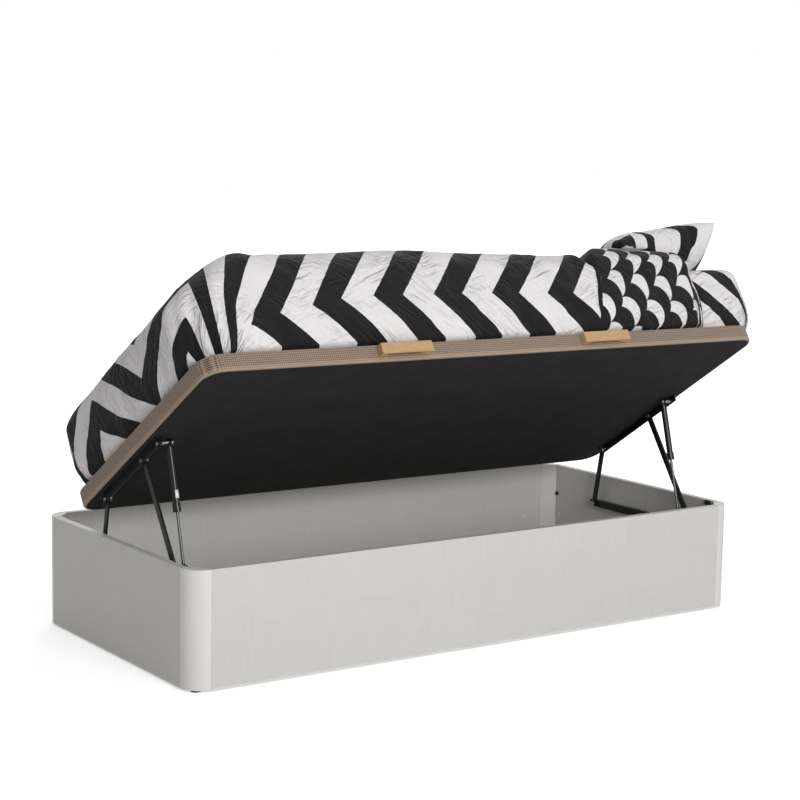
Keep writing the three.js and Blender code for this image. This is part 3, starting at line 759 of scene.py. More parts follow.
@dataclass(frozen=True)
class Scallops(Cotton):
    """Black cotton with white half moons: slanting rows of black rounds, with ringed white rounds between."""

    along: float = 97 * MM
    across: float = 164 * MM
    outer: float = 55 * MM
    inner: float = 47 * MM
    start: tuple[float, float] = (458 * MM, -929 * MM)
    drags: tuple[tuple[float, float, float, float], ...] = (
        (-1050 * MM, -880 * MM, 80 * MM, 0.0),
        (-880 * MM, -700 * MM, 0.0, 45 * MM),
    )
    hem_at: float = 325 * MM
    hem: float = 27 * MM

    def mask(self, graph: Graph) -> Signal:
        """White where a ringed round shows its core; the rows nearer the foot end lie on top.

        Args:
            graph: The material's graph.

        Returns:
            The ink's share, from 0 to 1.
        """
        place_x, place_y, _ = graph.axes()
        x, y = place_x - self.start[0], place_y - self.start[1]
        for drag in self.drags:
            x = x + graph.remap(place_y, *drag)
        pitch = math.hypot(self.along, self.across) / 2
        cosine, sine = self.across / 2 / pitch, self.along / 2 / pitch
        row, slip = self.along * cosine / 2, self.along * sine / 2
        rising = x * cosine + y * sine
        falling = x * sine - y * cosine
        cell = graph.math("FLOOR", rising / row)
        shown: Term = 1.0
        for offset in (2, 1, 0, -1):
            index = cell + float(offset)
            ringed = graph.math("FLOORED_MODULO", index, 2.0)
            beside = falling - (index * slip - ringed * (pitch / 2))
            sideways = graph.math("WRAP", beside, pitch / 2, -pitch / 2)
            ahead = rising - index * row
            reach = graph.math("SQRT", ahead * ahead + sideways * sideways)
            covered = self.edge(graph, self.outer - reach)
            ink = graph.math("MAXIMUM", self.edge(graph, reach - self.inner), 1.0 - ringed)
            shown = (1.0 - covered) * shown + covered * ink
        edge = self.hem_at + self.hem - (place_x + self.wobble(graph, 12 * MM))
        return graph.math("MAXIMUM", shown, self.edge(graph, edge))


@dataclass(frozen=True)
class Diagonals(Cotton):
    """White cotton with slanting black stripes."""

    pitch: float = 150 * MM
    band: float = 62 * MM
    phase: float = 20 * MM
    slope: float = 0.9

    def mask(self, graph: Graph) -> Signal:
        """Slanting stripes.

        Args:
            graph: The material's graph.

        Returns:
            The ink's share, from 0 to 1.
        """
        x, y, _ = graph.axes()
        moved = y * self.slope + x + self.wobble(graph, 12 * MM)
        return self.bands(graph, moved, self.phase, self.pitch, self.band)


@dataclass(frozen=True)
class Petals(Cotton):
    """White cotton with loose black petals and strokes."""

    wave: float = 86 * MM
    bend: float = 1.2
    swell: float = 4.4
    fill: float = 0.12
    fringe: float = 0.14
    lean: tuple[float, float] = (0.55, 0.8)
    bends: float = 5.5
    swells_apart: float = 15.0

    def mask(self, graph: Graph) -> Signal:
        """Bent bands that swell and pinch off into petals.

        Args:
            graph: The material's graph.

        Returns:
            The ink's share, from 0 to 1.
        """
        x, y, _ = graph.axes()
        turn = 2 * math.pi / self.wave
        warp = graph.noise(None, self.bends, 1.0, 0.4)
        leaning = x * (turn * self.lean[0]) + y * (turn * self.lean[1])
        bent = warp * (self.bend * 2 * math.pi) + leaning
        swell = graph.noise(None, self.swells_apart, 1.0) * self.swell - self.swell / 2
        return graph.remap(graph.math("SINE", bent) + swell, self.fill, self.fill + self.fringe)


FINISHES: dict[str, Callable[[], bpy.types.Material]] = {
    "laminate": Laminate().build,
    "edging": WrappedProfile().build,
    "hardboard": Board().build,
    "softwood": Timber("softwood", "cdb083", "b8955f", "8d6a3d", (35.0, 160.0, 160.0), 0.62).build,
    "rubber": Rubber().build,
    "black_steel": Coating("black_steel", "0d0e0f", "17181a", 0.38, 0.05 * MM).build,
    "gloss_black": Coating("gloss_black", "050506", "0b0c0d", 0.14, 0.01 * MM).build,
    "rod_steel": Coating("rod_steel", "4a4b4d", "38393b", 0.2, 0.005 * MM, 1.0).build,
    "sticker": Board("sticker", "eeeeec", "e2e2df", 0.5).build,
    "zinc_steel": Zinc().build,
    "beech": Timber("beech", "b8966b", "a88457", "8f6b3f", (16.0, 240.0, 240.0), 0.4, 0.25, Space.LID).build,
    "mesh_fabric": SpacerMesh().build,
    "backing_cloth": BackingCloth().build,
    "sheet_cotton": Diagonals("sheet_cotton").build,
    "duvet_cotton": Zigzag("duvet_cotton").build,
    "turndown_cotton": Scallops("turndown_cotton").build,
    "pillow_cotton": Petals("pillow_cotton").build,
}
_made: dict[str, bpy.types.Material] = {}


def material(name: str) -> bpy.types.Material:
    """The finish of that name, made once.

    Args:
        name: A key of FINISHES.

    Returns:
        The material.
    """
    if name not in _made:
        _made[name] = FINISHES[name]()
    return _made[name]


def add_piece(
    name: str, mesh: bpy.types.Mesh, body: str, finish: str
) -> bpy.types.Object:
    """Adds a finished piece that rides on a body.

    Args:
        name: The piece's name.
        mesh: Its mesh, in the row frame.
        body: The body that it moves with.
        finish: The name of its finish.

    Returns:
        The new object.
    """
    made = bpy.data.objects.new(name, mesh)
    bpy.context.scene.collection.objects.link(made)
    mesh.materials.clear()
    mesh.materials.append(material(finish))
    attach(made, body)
    LOG.info("%s: %d faces on %s", name, len(mesh.polygons), body)
    return made


def mesh_of(name: str, points: Iterable[Sequence[float]], faces: Iterable[Sequence[int]]) -> bpy.types.Mesh:
    """Makes a smooth mesh from points and faces.

    Args:
        name: The mesh's name.
        points: Its points in metres.
        faces: Its faces, as places in the points.

    Returns:
        The new mesh.
    """
    mesh = bpy.data.meshes.new(name)
    mesh.from_pydata([tuple(p) for p in points], [], [tuple(f) for f in faces])
    mesh.validate()
    mesh.shade_smooth()
    return mesh


def bevelled(piece: bpy.types.Object, width: float, segments: int = 2) -> bpy.types.Object:
    """Joins a piece's faces, rounds its sharp edges and smooths its shading.

    Args:
        piece: The piece.
        width: The rounding's width in metres, or zero for none.
        segments: How many faces go across the rounding.

    Returns:
        The same piece.
    """
    joined = piece.modifiers.new("joined", "WELD")
    joined.merge_threshold = 0.01 * MM
    if width:
        modifier = piece.modifiers.new("edges", "BEVEL")
        modifier.width = width
        modifier.segments = segments
        modifier.limit_method = "ANGLE"
        modifier.angle_limit = math.radians(38)
    shading = piece.modifiers.new("shading", "WEIGHTED_NORMAL")
    shading.weight = 100
    shading.keep_sharp = False
    piece.data.shade_smooth()
    return piece


def dress(nodes: Iterable[str], finish: str, bevel: float = 0.2 * MM) -> None:
    """Gives frame nodes a finish and rounds their edges.

    Args:
        nodes: The nodes' names.
        finish: The name of their finish.
        bevel: The width of the rounding in metres.
    """
    for name in nodes:
        node = frame["nodes"][name]
        node.data.materials.clear()
        node.data.materials.append(material(finish))
        bevelled(node, bevel)


def at_ends(*stems: str) -> list[str]:
    """The names of pieces that are there once at each end."""
    return [f"{stem}_{end}" for stem in stems for end in ENDS]


def ring_faces(rows: int, columns: int) -> list[tuple[int, ...]]:
    """Faces between rings of points that follow one another.

    Args:
        rows: How many rings there are.
        columns: How many points each ring has.

    Returns:
        Faces of four corners.
    """
    faces: list[tuple[int, ...]] = []
    for row in range(rows - 1):
        low, high = row * columns, (row + 1) * columns
        for step in range(columns):
            turned = (step + 1) % columns
            faces.append((low + step, low + turned, high + turned, high + step))
    return faces


@dataclass(frozen=True)
class Turned:
    """A turned piece, from a profile of (distance along its axis, radius) in millimetres."""

    profile: tuple[tuple[float, float], ...]
    segments: int = 40

    def mesh(self, name: str, start: Vector, axis: Vector) -> bpy.types.Mesh:
        """Makes the mesh along an axis.

        Args:
            name: The mesh's name.
            start: Where distance zero lies.
            axis: The direction of the axis.

        Returns:
            A closed mesh.
        """
        turn = axis.normalized().to_track_quat("Z", "Y")
        points: list[Vector] = []
        for reach, radius in self.profile:
            for step in range(self.segments):
                angle = 2 * math.pi * step / self.segments
                ring = Vector((radius * math.cos(angle), radius * math.sin(angle), reach))
                points.append(start + turn @ ring * MM)
        last = (len(self.profile) - 1) * self.segments
        faces = ring_faces(len(self.profile), self.segments)
        faces.append(tuple(reversed(range(self.segments))))
        faces.append(tuple(range(last, last + self.segments)))
        return mesh_of(name, points, faces)


@dataclass
class StorageBox:
    """The panels, posts, floor and feet, with their edge strips and fittings."""

    panel_bevel: float = 0.9 * MM
    strip_height: float = 4 * MM
    strip_proud: float = 0.3 * MM
    cap_profile: tuple[tuple[float, float], ...] = ((0, 7.5), (1.1, 7.5), (1.6, 6.45))
    bolt_profile: tuple[tuple[float, float], ...] = (
        (0, 6.5),
        (3.4, 6.5),
        (4.4, 5.2),
        (4.4, 2.925),
        (1.4, 2.73),
    )
    cover_reach: float = 18 * MM
    cover_height: float = 154 * MM
    bolt_reach: float = 8 * MM
    bolt_height: float = 227 * MM
    side_cap_reach: float = 72 * MM
    side_cap_height: float = 147 * MM

    def build(self) -> None:
        """Dresses the box and adds its small pieces."""
        corners = [f"{edge}_{end}" for edge in ("front", "rear") for end in ENDS]
        panels = ["front_panel", "rear_panel", *end_panels()]
        dress(panels, "laminate", self.panel_bevel)
        dress([f"corner_post_{c}" for c in corners], "edging", 0.4 * MM)
        dress([f"post_cap_{c}" for c in corners], "edging", 0.5 * MM)
        dress([f"glide_{c}" for c in corners] + ["centre_foot"], "rubber", 0.6 * MM)
        dress(["floor_cleat_front", "floor_cleat_rear", "centre_batten"], "softwood", 1.2 * MM)
        dress(at_ends("floor_board"), "hardboard", 0.4 * MM)
        dress(at_ends("lid_buffer"), "rubber", 2.5 * MM)
        self.fittings()
        self.strips()

    def strips(self) -> None:
        """Adds the pale strips that close the panels' lower edges, a little proud of the faces."""
        for name in ("front_panel", "rear_panel", *end_panels()):
            low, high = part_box(name)
            proud = Vector((self.strip_proud, self.strip_proud, 0))
            if high.x - low.x > high.y - low.y:
                proud.x = 0
            else:
                proud.y = 0
            low, high = low - proud, high + proud
            high.z = low.z + self.strip_height
            points = [(x, y, z) for z in (low.z, high.z) for x, y in ring_of(low, high)]
            walls = [(i, (i + 1) % 4, (i + 1) % 4 + 4, i + 4) for i in range(4)]
            mesh = mesh_of(name, points, [(3, 2, 1, 0), (4, 5, 6, 7), *walls])
            bevelled(add_piece(f"edge_strip_{name}", mesh, "root", "edging"), 0.3 * MM)

    def fittings(self) -> None:
        """Adds the cover caps of the corner connectors and the bolt heads inside the panels."""
        inner_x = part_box("head_panel")[0].x
        inner_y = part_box("rear_panel")[0].y
        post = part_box("corner_post_rear_head")[0]
        for end, side in zip(ENDS, (-1, 1)):
            for edge, row in (("front", -1), ("rear", 1)):
                along, across = Vector((-side, 0, 0)), Vector((0, -row, 0))
                cap_at = (inner_x, post.y - self.cover_reach, self.cover_height)
                bolt_at = (inner_x, post.y - self.bolt_reach, self.bolt_height)
                side_at = (post.x - self.side_cap_reach, inner_y, self.side_cap_height)
                for stem, profile, finish, axis, (x, y, z) in (
                    ("connector_cap", self.cap_profile, "edging", along, cap_at),
                    ("connector_bolt", self.bolt_profile, "black_steel", along, bolt_at),
                    ("side_cap", self.cap_profile, "edging", across, side_at),
                ):
                    mesh = Turned(profile).mesh(stem, Vector((side * x, row * y, z)), axis)
                    add_piece(f"{stem}_{edge}_{end}", mesh, "root", finish)


def ring_of(low: Vector, high: Vector) -> list[tuple[float, float]]:
    """The corners of a box's plan, anticlockwise."""
    return [(low.x, low.y), (high.x, low.y), (high.x, high.y), (low.x, high.y)]


def end_panels() -> list[str]:
    """The names of the two end panels."""
    return [f"{end}_panel" for end in ENDS]


@dataclass
class LiftGear:
    """Rails, arms and gas struts at each end."""

    barrel: float = 9.5 * MM
    strut_plane: float = 879 * MM
    sticker_span: tuple[float, float] = (128 * MM, 150 * MM)
    sticker_from: float = -55.0
    sticker_turn: float = 80.0
    sticker_steps: int = 10
    sticker_proud: float = 0.15 * MM
    sticker_sunk: float = 0.1 * MM

    def build(self) -> None:
        """Dresses the steel and adds the sticker."""
        dress(at_ends("base_rail"), "black_steel", 0.7 * MM)
        dress(at_ends("rear_arm", "front_arm"), "black_steel", 0.8 * MM)
        dress(at_ends("lid_bracket"), "black_steel", 0.5 * MM)
        pins = ("rear_pivot_bolt", "strut_stud_lower", "rear_arm_bolt", "front_arm_bolt", "strut_stud_upper")
        dress(at_ends(*pins), "zinc_steel", 0.6 * MM)
        dress(at_ends("gas_rod"), "rod_steel", 0.3 * MM)
        dress(at_ends("gas_cylinder"), "gloss_black", 0.5 * MM)
        self.blank_sticker()

    def blank_sticker(self) -> None:
        """Adds the blank white sticker on the cylinder at the foot end."""
        joints = {joint["name"]: joint for joint in frame["joints"]}
        eye = Vector(joints["strut_swing"]["pos_m"])
        start = Vector((-self.strut_plane, eye.y, eye.z))
        axis = Vector(joints["rod_slide"]["axis"]).normalized()
        across = Vector((1, 0, 0))
        front = axis.cross(across)
        front *= math.copysign(1.0, -front.y)
        steps = self.sticker_steps
        points: list[Vector] = []
        for reach in self.sticker_span:
            for radius in (self.barrel + self.sticker_proud, self.barrel - self.sticker_sunk):
                for step in range(steps + 1):
                    angle = math.radians(self.sticker_from + self.sticker_turn * step / steps)
                    outward = front * math.cos(angle) - across * math.sin(angle)
                    points.append(start + axis * reach + outward * radius)
        ring = [*range(steps + 1), *reversed(range(steps + 1, 2 * steps + 2))]
        count = len(ring)
        faces = [tuple(ring), tuple(i + count for i in reversed(ring))]
        for i in range(count):
            a, b = ring[i], ring[(i + 1) % count]
            faces.append((b, a, a + count, b + count))
        mesh = mesh_of("cylinder_sticker", points, faces)
        add_piece("cylinder_sticker", mesh, "gas_cylinders", "sticker")


@dataclass
class LidPanel:
    """The lid's board, frame, covers and pull handles."""

    def build(self) -> None:
        """Dresses the lid."""
        dress(["lid_cover"], "mesh_fabric", 1.2 * MM)
        dress(["underside_cloth"], "backing_cloth")
        dress(["lid_frame"], "softwood")
        dress(["lid_board"], "hardboard")
        dress(at_ends("handle"), "beech", 2.2 * MM)


@dataclass(frozen=True)
class Layer:
    """A bedding layer as a closed loft round the bed, in the lid's frame, in metres.

    Rows run from the hem up the wall and round the shoulder. The crown is a grid inside the last row.
    """

    foot: float
    head: float
    near: float
    far: float
    foot_radius: float
    head_radius: float
    base: float
    top: float
    shoulder: float
    tuck: float
    bulge: float
    crown: float
    long_steps: int
    end_steps: int
    corner_steps: int
    wall_rows: int = 16
    shoulder_rows: int = 12
    crown_reach: float = 250 * MM
    least_radius: float = 30 * MM
    bulge_share: float = 0.55
    tuck_share: float = 0.4
    tuck_sharpness: float = 3.4
    height_share: Callable[[np.ndarray], np.ndarray] = field(default=np.ones_like)

    def plan(self, inset: float) -> np.ndarray:
        """Points round the plan, anticlockwise from the near corner at the head end.

        Args:
            inset: How far inside the layer's edge they lie.

        Returns:
            Positions, as many at each inset.
        """
        half = (self.far - self.near) / 2 - inset
        least = min(self.least_radius, half)
        foot_radius = max(self.foot_radius - inset, least)
        head_radius = max(self.head_radius - inset, least)
        left, right = self.foot + inset + foot_radius, self.head - inset - head_radius
        near, far = self.near + inset, self.far - inset
        corners = (
            (right, near + head_radius, head_radius, -1, self.end_steps),
            (right, far - head_radius, head_radius, 0, self.long_steps),
            (left, far - foot_radius, foot_radius, 1, self.end_steps),
            (left, near + foot_radius, foot_radius, 2, self.long_steps),
        )
        points = []
        counts = []
        for x, y, radius, quarters, straight in corners:
            angles = (np.arange(self.corner_steps + 1) / self.corner_steps + quarters) * math.pi / 2
            points.append(np.stack([x + radius * np.cos(angles), y + radius * np.sin(angles)], 1))
            counts += [1] * self.corner_steps + [straight]
        ring = np.concatenate(points)
        following = np.roll(ring, -1, 0)
        spread = [
            ring[i] + (following[i] - ring[i]) * (step / count)
            for i, count in enumerate(counts)
            for step in range(count)
        ]
        return np.array(spread)

    def section(self) -> list[tuple[float, float]]:
        """The layer's section, from the tucked hem over the bulge to the edge of the crown.

        Returns:
            Rows of (inset, height).
        """
        wall_top = self.top - self.shoulder
        rows = []
        for step in range(self.wall_rows):
            share = step / self.wall_rows
            bulge = math.sin(math.pi / 2 * min(1.0, share / self.bulge_share))
            tuck = max(0.0, 1 - share / self.tuck_share) ** self.tuck_sharpness
            rows.append((tuck * self.tuck - bulge * self.bulge, self.base + share * (wall_top - self.base)))
        for step in range(self.shoulder_rows + 1):
            angle = math.pi / 2 * step / self.shoulder_rows
            inset = self.shoulder * (1 - math.cos(angle)) - self.bulge * math.cos(angle)
            rows.append((inset, wall_top + self.shoulder * math.sin(angle)))
        return rows

    def rings(self) -> np.ndarray:
        """Positions of the rows round the layer.

        Returns:
            An array of row, column and axis.
        """
        made = []
        for inset, height in self.section():
            plan = self.plan(inset)
            lifted = self.base + (height - self.base) * self.height_share(plan[:, 0])
            made.append(np.column_stack([plan, lifted]))
        return np.array(made)

    def crown_grid(self, ring: np.ndarray) -> np.ndarray:
        """Fills the last ring with a grid.

        Args:
            ring: The ring at the edge of the crown.

        Returns:
            Positions of shape (across, along, 3), whose border is the ring.
        """
        half = self.corner_steps // 2
        along = self.long_steps + self.corner_steps
        across = self.end_steps + self.corner_steps
        starts = np.cumsum([half, across, along, across])
        right, far, left, near = (
            np.take(ring, range(start, start + count + 1), 0, mode="wrap")
            for start, count in zip(starts, (across, along, across, along))
        )
        far, left = far[::-1], left[::-1]
        s = np.linspace(0, 1, along + 1)[None, :, None]
        t = np.linspace(0, 1, across + 1)[:, None, None]
        grid = (1 - t) * near[None] + t * far[None] + (1 - s) * left[:, None] + s * right[:, None]
        grid -= (1 - s) * (1 - t) * near[0] + s * (1 - t) * near[-1] + (1 - s) * t * far[0] + s * t * far[-1]
        x, y = grid[..., 0], grid[..., 1]
        edge = np.minimum.reduce([x - self.foot, self.head - x, y - self.near, self.far - y])
        share = np.clip((edge - self.shoulder) / self.crown_reach, 0, 1)
        rise = self.crown * (1 - (1 - share) ** 2)
        height = (self.top + rise - self.base) * self.height_share(x) + self.base
        grid[1:-1, 1:-1, 2] = height[1:-1, 1:-1]
        return grid


@dataclass
class Shell:
    """Points, faces and print places of a layer's skin."""

    points: np.ndarray
    unrolled: np.ndarray
    faces: list[tuple[int, ...]]
    columns: int

    @classmethod
    def of(cls, layer: Layer) -> Shell:
        """Makes the closed skin of a layer.

        Args:
            layer: The layer.

        Returns:
            The skin.
        """
        rings = layer.rings()
        rows, columns = rings.shape[:2]
        grid = layer.crown_grid(rings[-1])
        across, along = grid.shape[:2]
        outward = (layer.plan(0.0) - layer.plan(MM)) / MM
        outward /= np.linalg.norm(outward, axis=1)[:, None]
        insets = np.array([inset for inset, _ in layer.section()])
        gaps = np.linalg.norm(np.diff(rings, axis=0), axis=2)
        arc = np.concatenate([np.cumsum(gaps[::-1], axis=0)[::-1], np.zeros((1, columns))])
        spare = arc - (insets[-1] - insets)[:, None]
        flat = rings[..., :2] + outward[None] * spare[..., None]
        inner = grid[1:-1, 1:-1].reshape(-1, 3)
        points = np.concatenate([rings.reshape(-1, 3), inner])
        unrolled = np.concatenate([flat.reshape(-1, 2), inner[:, :2]])
        faces = ring_faces(rows, columns)
        last = (rows - 1) * columns
        half = layer.corner_steps // 2
        index = np.zeros((across, along), int)
        index[1:-1, 1:-1] = rows * columns + np.arange(inner.shape[0]).reshape(across - 2, along - 2)
        starts = np.cumsum([half, across - 1, along - 1, across - 1])
        right, far, left, near = (
            last + (start + np.arange(count)) % columns
            for start, count in zip(starts, (across, along, across, along))
        )
        index[:, -1], index[-1, :], index[:, 0], index[0, :] = right, far[::-1], left[::-1], near
        for i in range(across - 1):
            for j in range(along - 1):
                faces.append((index[i, j], index[i, j + 1], index[i + 1, j + 1], index[i + 1, j]))
        border = index - last
        faces += strips(border[0, :], border[-1, :])
        for end in (border[::-1, 0], border[:, -1]):
            middle = len(end) // 2 + 1
            faces += strips(end[:middle], end[::-1][:middle])
        return cls(points, unrolled, [tuple(int(v) for v in f) for f in faces], columns)


def strips(near: np.ndarray, far: np.ndarray) -> list[tuple[int, ...]]:
    """Faces that join two rows of points facing down, without a face of more than four corners."""
    quads = [(near[i], far[i], far[i + 1], near[i + 1]) for i in range(len(near) - 1)]
    return [tuple(dict.fromkeys(int(corner) for corner in quad)) for quad in quads]


def ramp(value: np.ndarray, start: float, end: float) -> np.ndarray:
    """Goes evenly from 0 at the start to 1 at the end, which may lie below the start."""
    return np.clip((value - start) / (end - start), 0, 1)


def smoothstep(value: np.ndarray, start: float, end: float) -> np.ndarray:
    """Goes smoothly from 0 at the start to 1 at the end."""
    share = ramp(value, start, end)
    return share * share * (3 - 2 * share)


CLOTH: dict[str, float | bool] = {
    "quality": 6,
    "mass": 0.25,
    "tension_stiffness": 20,
    "compression_stiffness": 12,
    "shear_stiffness": 6,
    "bending_stiffness": 0.6,
    "air_damping": 3,
    "use_pressure": True,
}


@dataclass
class Puff:
    """Cloth simulation of a padded skin: it grows a little and is blown out, so that it wrinkles."""

    pressure: float
    growth: float
    cap: float
    frames: int = 20
    rounds: int = 2
    own_share: float = 0.4

    def eased(self, mesh: bpy.types.Mesh, moved: np.ndarray) -> np.ndarray:
        """Evens out the moves between neighbours, so that no fold turns over.

        Args:
            mesh: The piece's mesh.
            moved: How far each point has moved.

        Returns:
            The evened moves.
        """
        ends = np.zeros(2 * len(mesh.edges), int)
        mesh.edges.foreach_get("vertices", ends)
        first, second = ends.reshape(-1, 2).T
        count = np.bincount(ends, minlength=len(moved))[:, None]
        for _ in range(self.rounds):
            total = np.zeros_like(moved)
            np.add.at(total, first, moved[second])
            np.add.at(total, second, moved[first])
            moved = self.own_share * moved + (1 - self.own_share) * total / count
        return moved

    def run(self, piece: bpy.types.Object, pinned: np.ndarray) -> None:
        """Simulates a piece and keeps the result in its mesh.

        Args:
            piece: The piece, in the lid's frame.
            pinned: The share, for each point, by which it is held.
        """
        group = piece.vertex_groups.new(name="pin")
        for index in np.nonzero(pinned > 0)[0]:
            group.add([int(index)], float(pinned[index]), "REPLACE")
        rest = np.array([v.co for v in piece.data.vertices])
        modifier = piece.modifiers.new("cloth", "CLOTH")
        settings = modifier.settings
        for name, value in CLOTH.items():
            setattr(settings, name, value)
        settings.uniform_pressure_force = self.pressure
        settings.shrink_min = -self.growth
        settings.vertex_group_mass = group.name
        settings.effector_weights.gravity = 0
        modifier.collision_settings.use_collision = False
        modifier.collision_settings.use_self_collision = False
        modifier.point_cache.frame_start = 1
        modifier.point_cache.frame_end = self.frames
        scene = bpy.context.scene
        for number in range(1, self.frames + 1):
            scene.frame_set(number)
        shown = piece.evaluated_get(bpy.context.evaluated_depsgraph_get())
        moved = self.eased(piece.data, np.array([v.co for v in shown.data.vertices]) - rest)
        length = np.linalg.norm(moved, axis=1)
        soft = self.cap * np.tanh(length / self.cap) / np.maximum(length, 1e-9)
        piece.modifiers.remove(modifier)
        piece.vertex_groups.clear()
        piece.data.vertices.foreach_set("co", (rest + moved * soft[:, None]).ravel())
        piece.data.update()
        scene.frame_set(1)
        LOG.info("%s: moved up to %.1f mm", piece.name, float(length.max()) / MM)


@dataclass
class Rumple:
    """Folds that run over a skin: broad unevenness, slanting drag folds, and puckers above the hem."""

    broad: float = 4 * MM
    drag: float = 4 * MM
    pucker: float = 5 * MM
    pucker_height: float = 75 * MM
    held_height: float = 18 * MM
    slant: float = 0.62
    crown_share: float = 0.45
    crown_from: float = 0.8
    broad_cells: float = 4.5
    patch_cells: float = 3.1
    patch_bias: float = 0.35
    drag_cells: tuple[float, float] = (4.0, 21.0)
    drag_sharpness: float = 0.7
    pucker_cells: tuple[float, float] = (24.0, 5.0)
    gather_cells: float = 2.6
    gather_bias: float = 0.45
    wrap: float = 0.8

    def press(self, mesh: bpy.types.Mesh, base: float, top: float) -> None:
        """Moves the points of a skin along their normals.

        Args:
            mesh: The skin, in the lid's frame.
            base: The hem's height.
            top: The crown's height.
        """
        mesh.update()
        cosine, sine = math.cos(self.slant), math.sin(self.slant)
        places = [tuple(point.co) for point in mesh.vertices]
        normals = [tuple(normal.vector) for normal in mesh.vertex_normals]
        shifts = []
        for x, y, z in places:
            rise = max(z - base, 0)
            around = x - y * self.wrap
            along = around * cosine - z * sine
            across = around * sine + z * cosine
            broad, patch = (
                noise.noise(Vector((x * cells, y * cells, z * cells + lift)))
                for cells, lift in ((self.broad_cells, 0), (self.patch_cells, 4))
            )
            lines = noise.noise(Vector((along * self.drag_cells[0], across * self.drag_cells[1], y)))
            folds = noise.noise(Vector((around * self.pucker_cells[0], z * self.pucker_cells[1], 7.0)))
            gathered = noise.noise(Vector((around * self.gather_cells, 0.0, 2.0)))
            crown = min(1.0, max(0.0, (z - base) / (top - base) - self.crown_from) / (1 - self.crown_from))
            drag = self.drag * max(0.0, patch + self.patch_bias) * (1 - 2 * abs(lines) ** self.drag_sharpness)
            fading = math.exp(-rise / self.pucker_height)
            pucker = self.pucker * fading * max(0.0, gathered + self.gather_bias)
            shift = self.broad * broad + drag * (1 - (1 - self.crown_share) * crown) + pucker * folds * 2
            shifts.append(shift * min(1.0, rise / self.held_height))
        moved = np.array(places) + np.array(normals) * np.array(shifts)[:, None]
        mesh.vertices.foreach_set("co", moved.ravel())
        mesh.update()


@dataclass(frozen=True)
class Pleats:
    """Narrow folds at a layer's corner, where its spare cloth is drawn in."""

    centre: tuple[float, float]
    angles: tuple[float, ...] = (200.0, 221.0, 238.0, 252.0)
    depths: tuple[float, ...] = (7.0, 12.0, 15.0, 9.0)
    width: float = 4.6
    lean: float = 24.0
    upright_at: float = 0.3
    ridge: float = 0.45
    ridge_at: float = 1.9
    ridge_spread: float = 1.4
    heights: tuple[tuple[float, float], ...] = ((0.0, 0.08), (0.8, 0.3))
    reaches: tuple[tuple[float, float], ...] = ((60 * MM, 100 * MM), (400 * MM, 300 * MM))

    def press(self, points: np.ndarray, base: float, top: float) -> None:
        """Draws points in towards the corner's centre along leaning grooves.

        Args:
            points: Points in the lid's frame, changed in place.
            base: The hem's height.
            top: The crown's height.
        """
        offset = points[:, :2] - np.array(self.centre)
        reach = np.linalg.norm(offset, axis=1)
        share = ramp(points[:, 2], base, top)
        angle = np.degrees(np.arctan2(offset[:, 1], offset[:, 0])) % 360
        pull = np.zeros(len(points))
        for groove, depth in zip(self.angles, self.depths):
            away = (angle - groove - self.lean * (share - self.upright_at)) / self.width
            ridge = self.ridge * np.exp(-((away - self.ridge_at) ** 2) / self.ridge_spread)
            pull += depth * MM * (np.exp(-(away**2)) - ridge)
        for value, spans in ((share, self.heights), (reach, self.reaches)):
            for start, end in spans:
                pull *= ramp(value, start, end)
        points[:, :2] -= offset / np.maximum(reach, MM)[:, None] * pull[:, None]


@dataclass(frozen=True)
class FittedSheet:
    """The fit of the sheet: it ripples where it is bare, and leaves room where the duvet covers it."""

    bare_span: tuple[float, float] = (740 * MM, 800 * MM)
    foot_span: tuple[float, float] = (600 * MM, 800 * MM)
    ripple: float = 1.5 * MM
    hem_ripple: float = 2.5 * MM
    hem_height: float = 60 * MM
    ripple_cells: tuple[float, float] = (9.0, 31.0)
    side_room: float = 12 * MM
    foot_room: float = 14 * MM
    top_room: float = 9 * MM
    room_height: float = 150 * MM

    def press(self, points: np.ndarray, base: float, middle: float) -> None:
        """Moves the points of the mattress, in place.

        Args:
            points: Points in the lid's frame.
            base: The hem's height.
            middle: The lid's middle line.
        """
        for point in points:
            coarse, fine = (noise.noise(Vector(point) * cells) for cells in self.ripple_cells)
            height = point[2] - base
            depth = self.ripple + self.hem_ripple * math.exp(-((height / self.hem_height) ** 2))
            bare = float(smoothstep(point[0], *self.bare_span))
            side = math.copysign(1.0, point[1] - middle)
            hidden = 1 - bare
            point[1] += side * (depth * (coarse * 0.6 + fine * 0.4) * bare - self.side_room * hidden)
            point[0] += self.foot_room * hidden * float(smoothstep(-point[0], *self.foot_span))
            point[2] -= self.top_room * hidden * min(1.0, height / self.room_height)


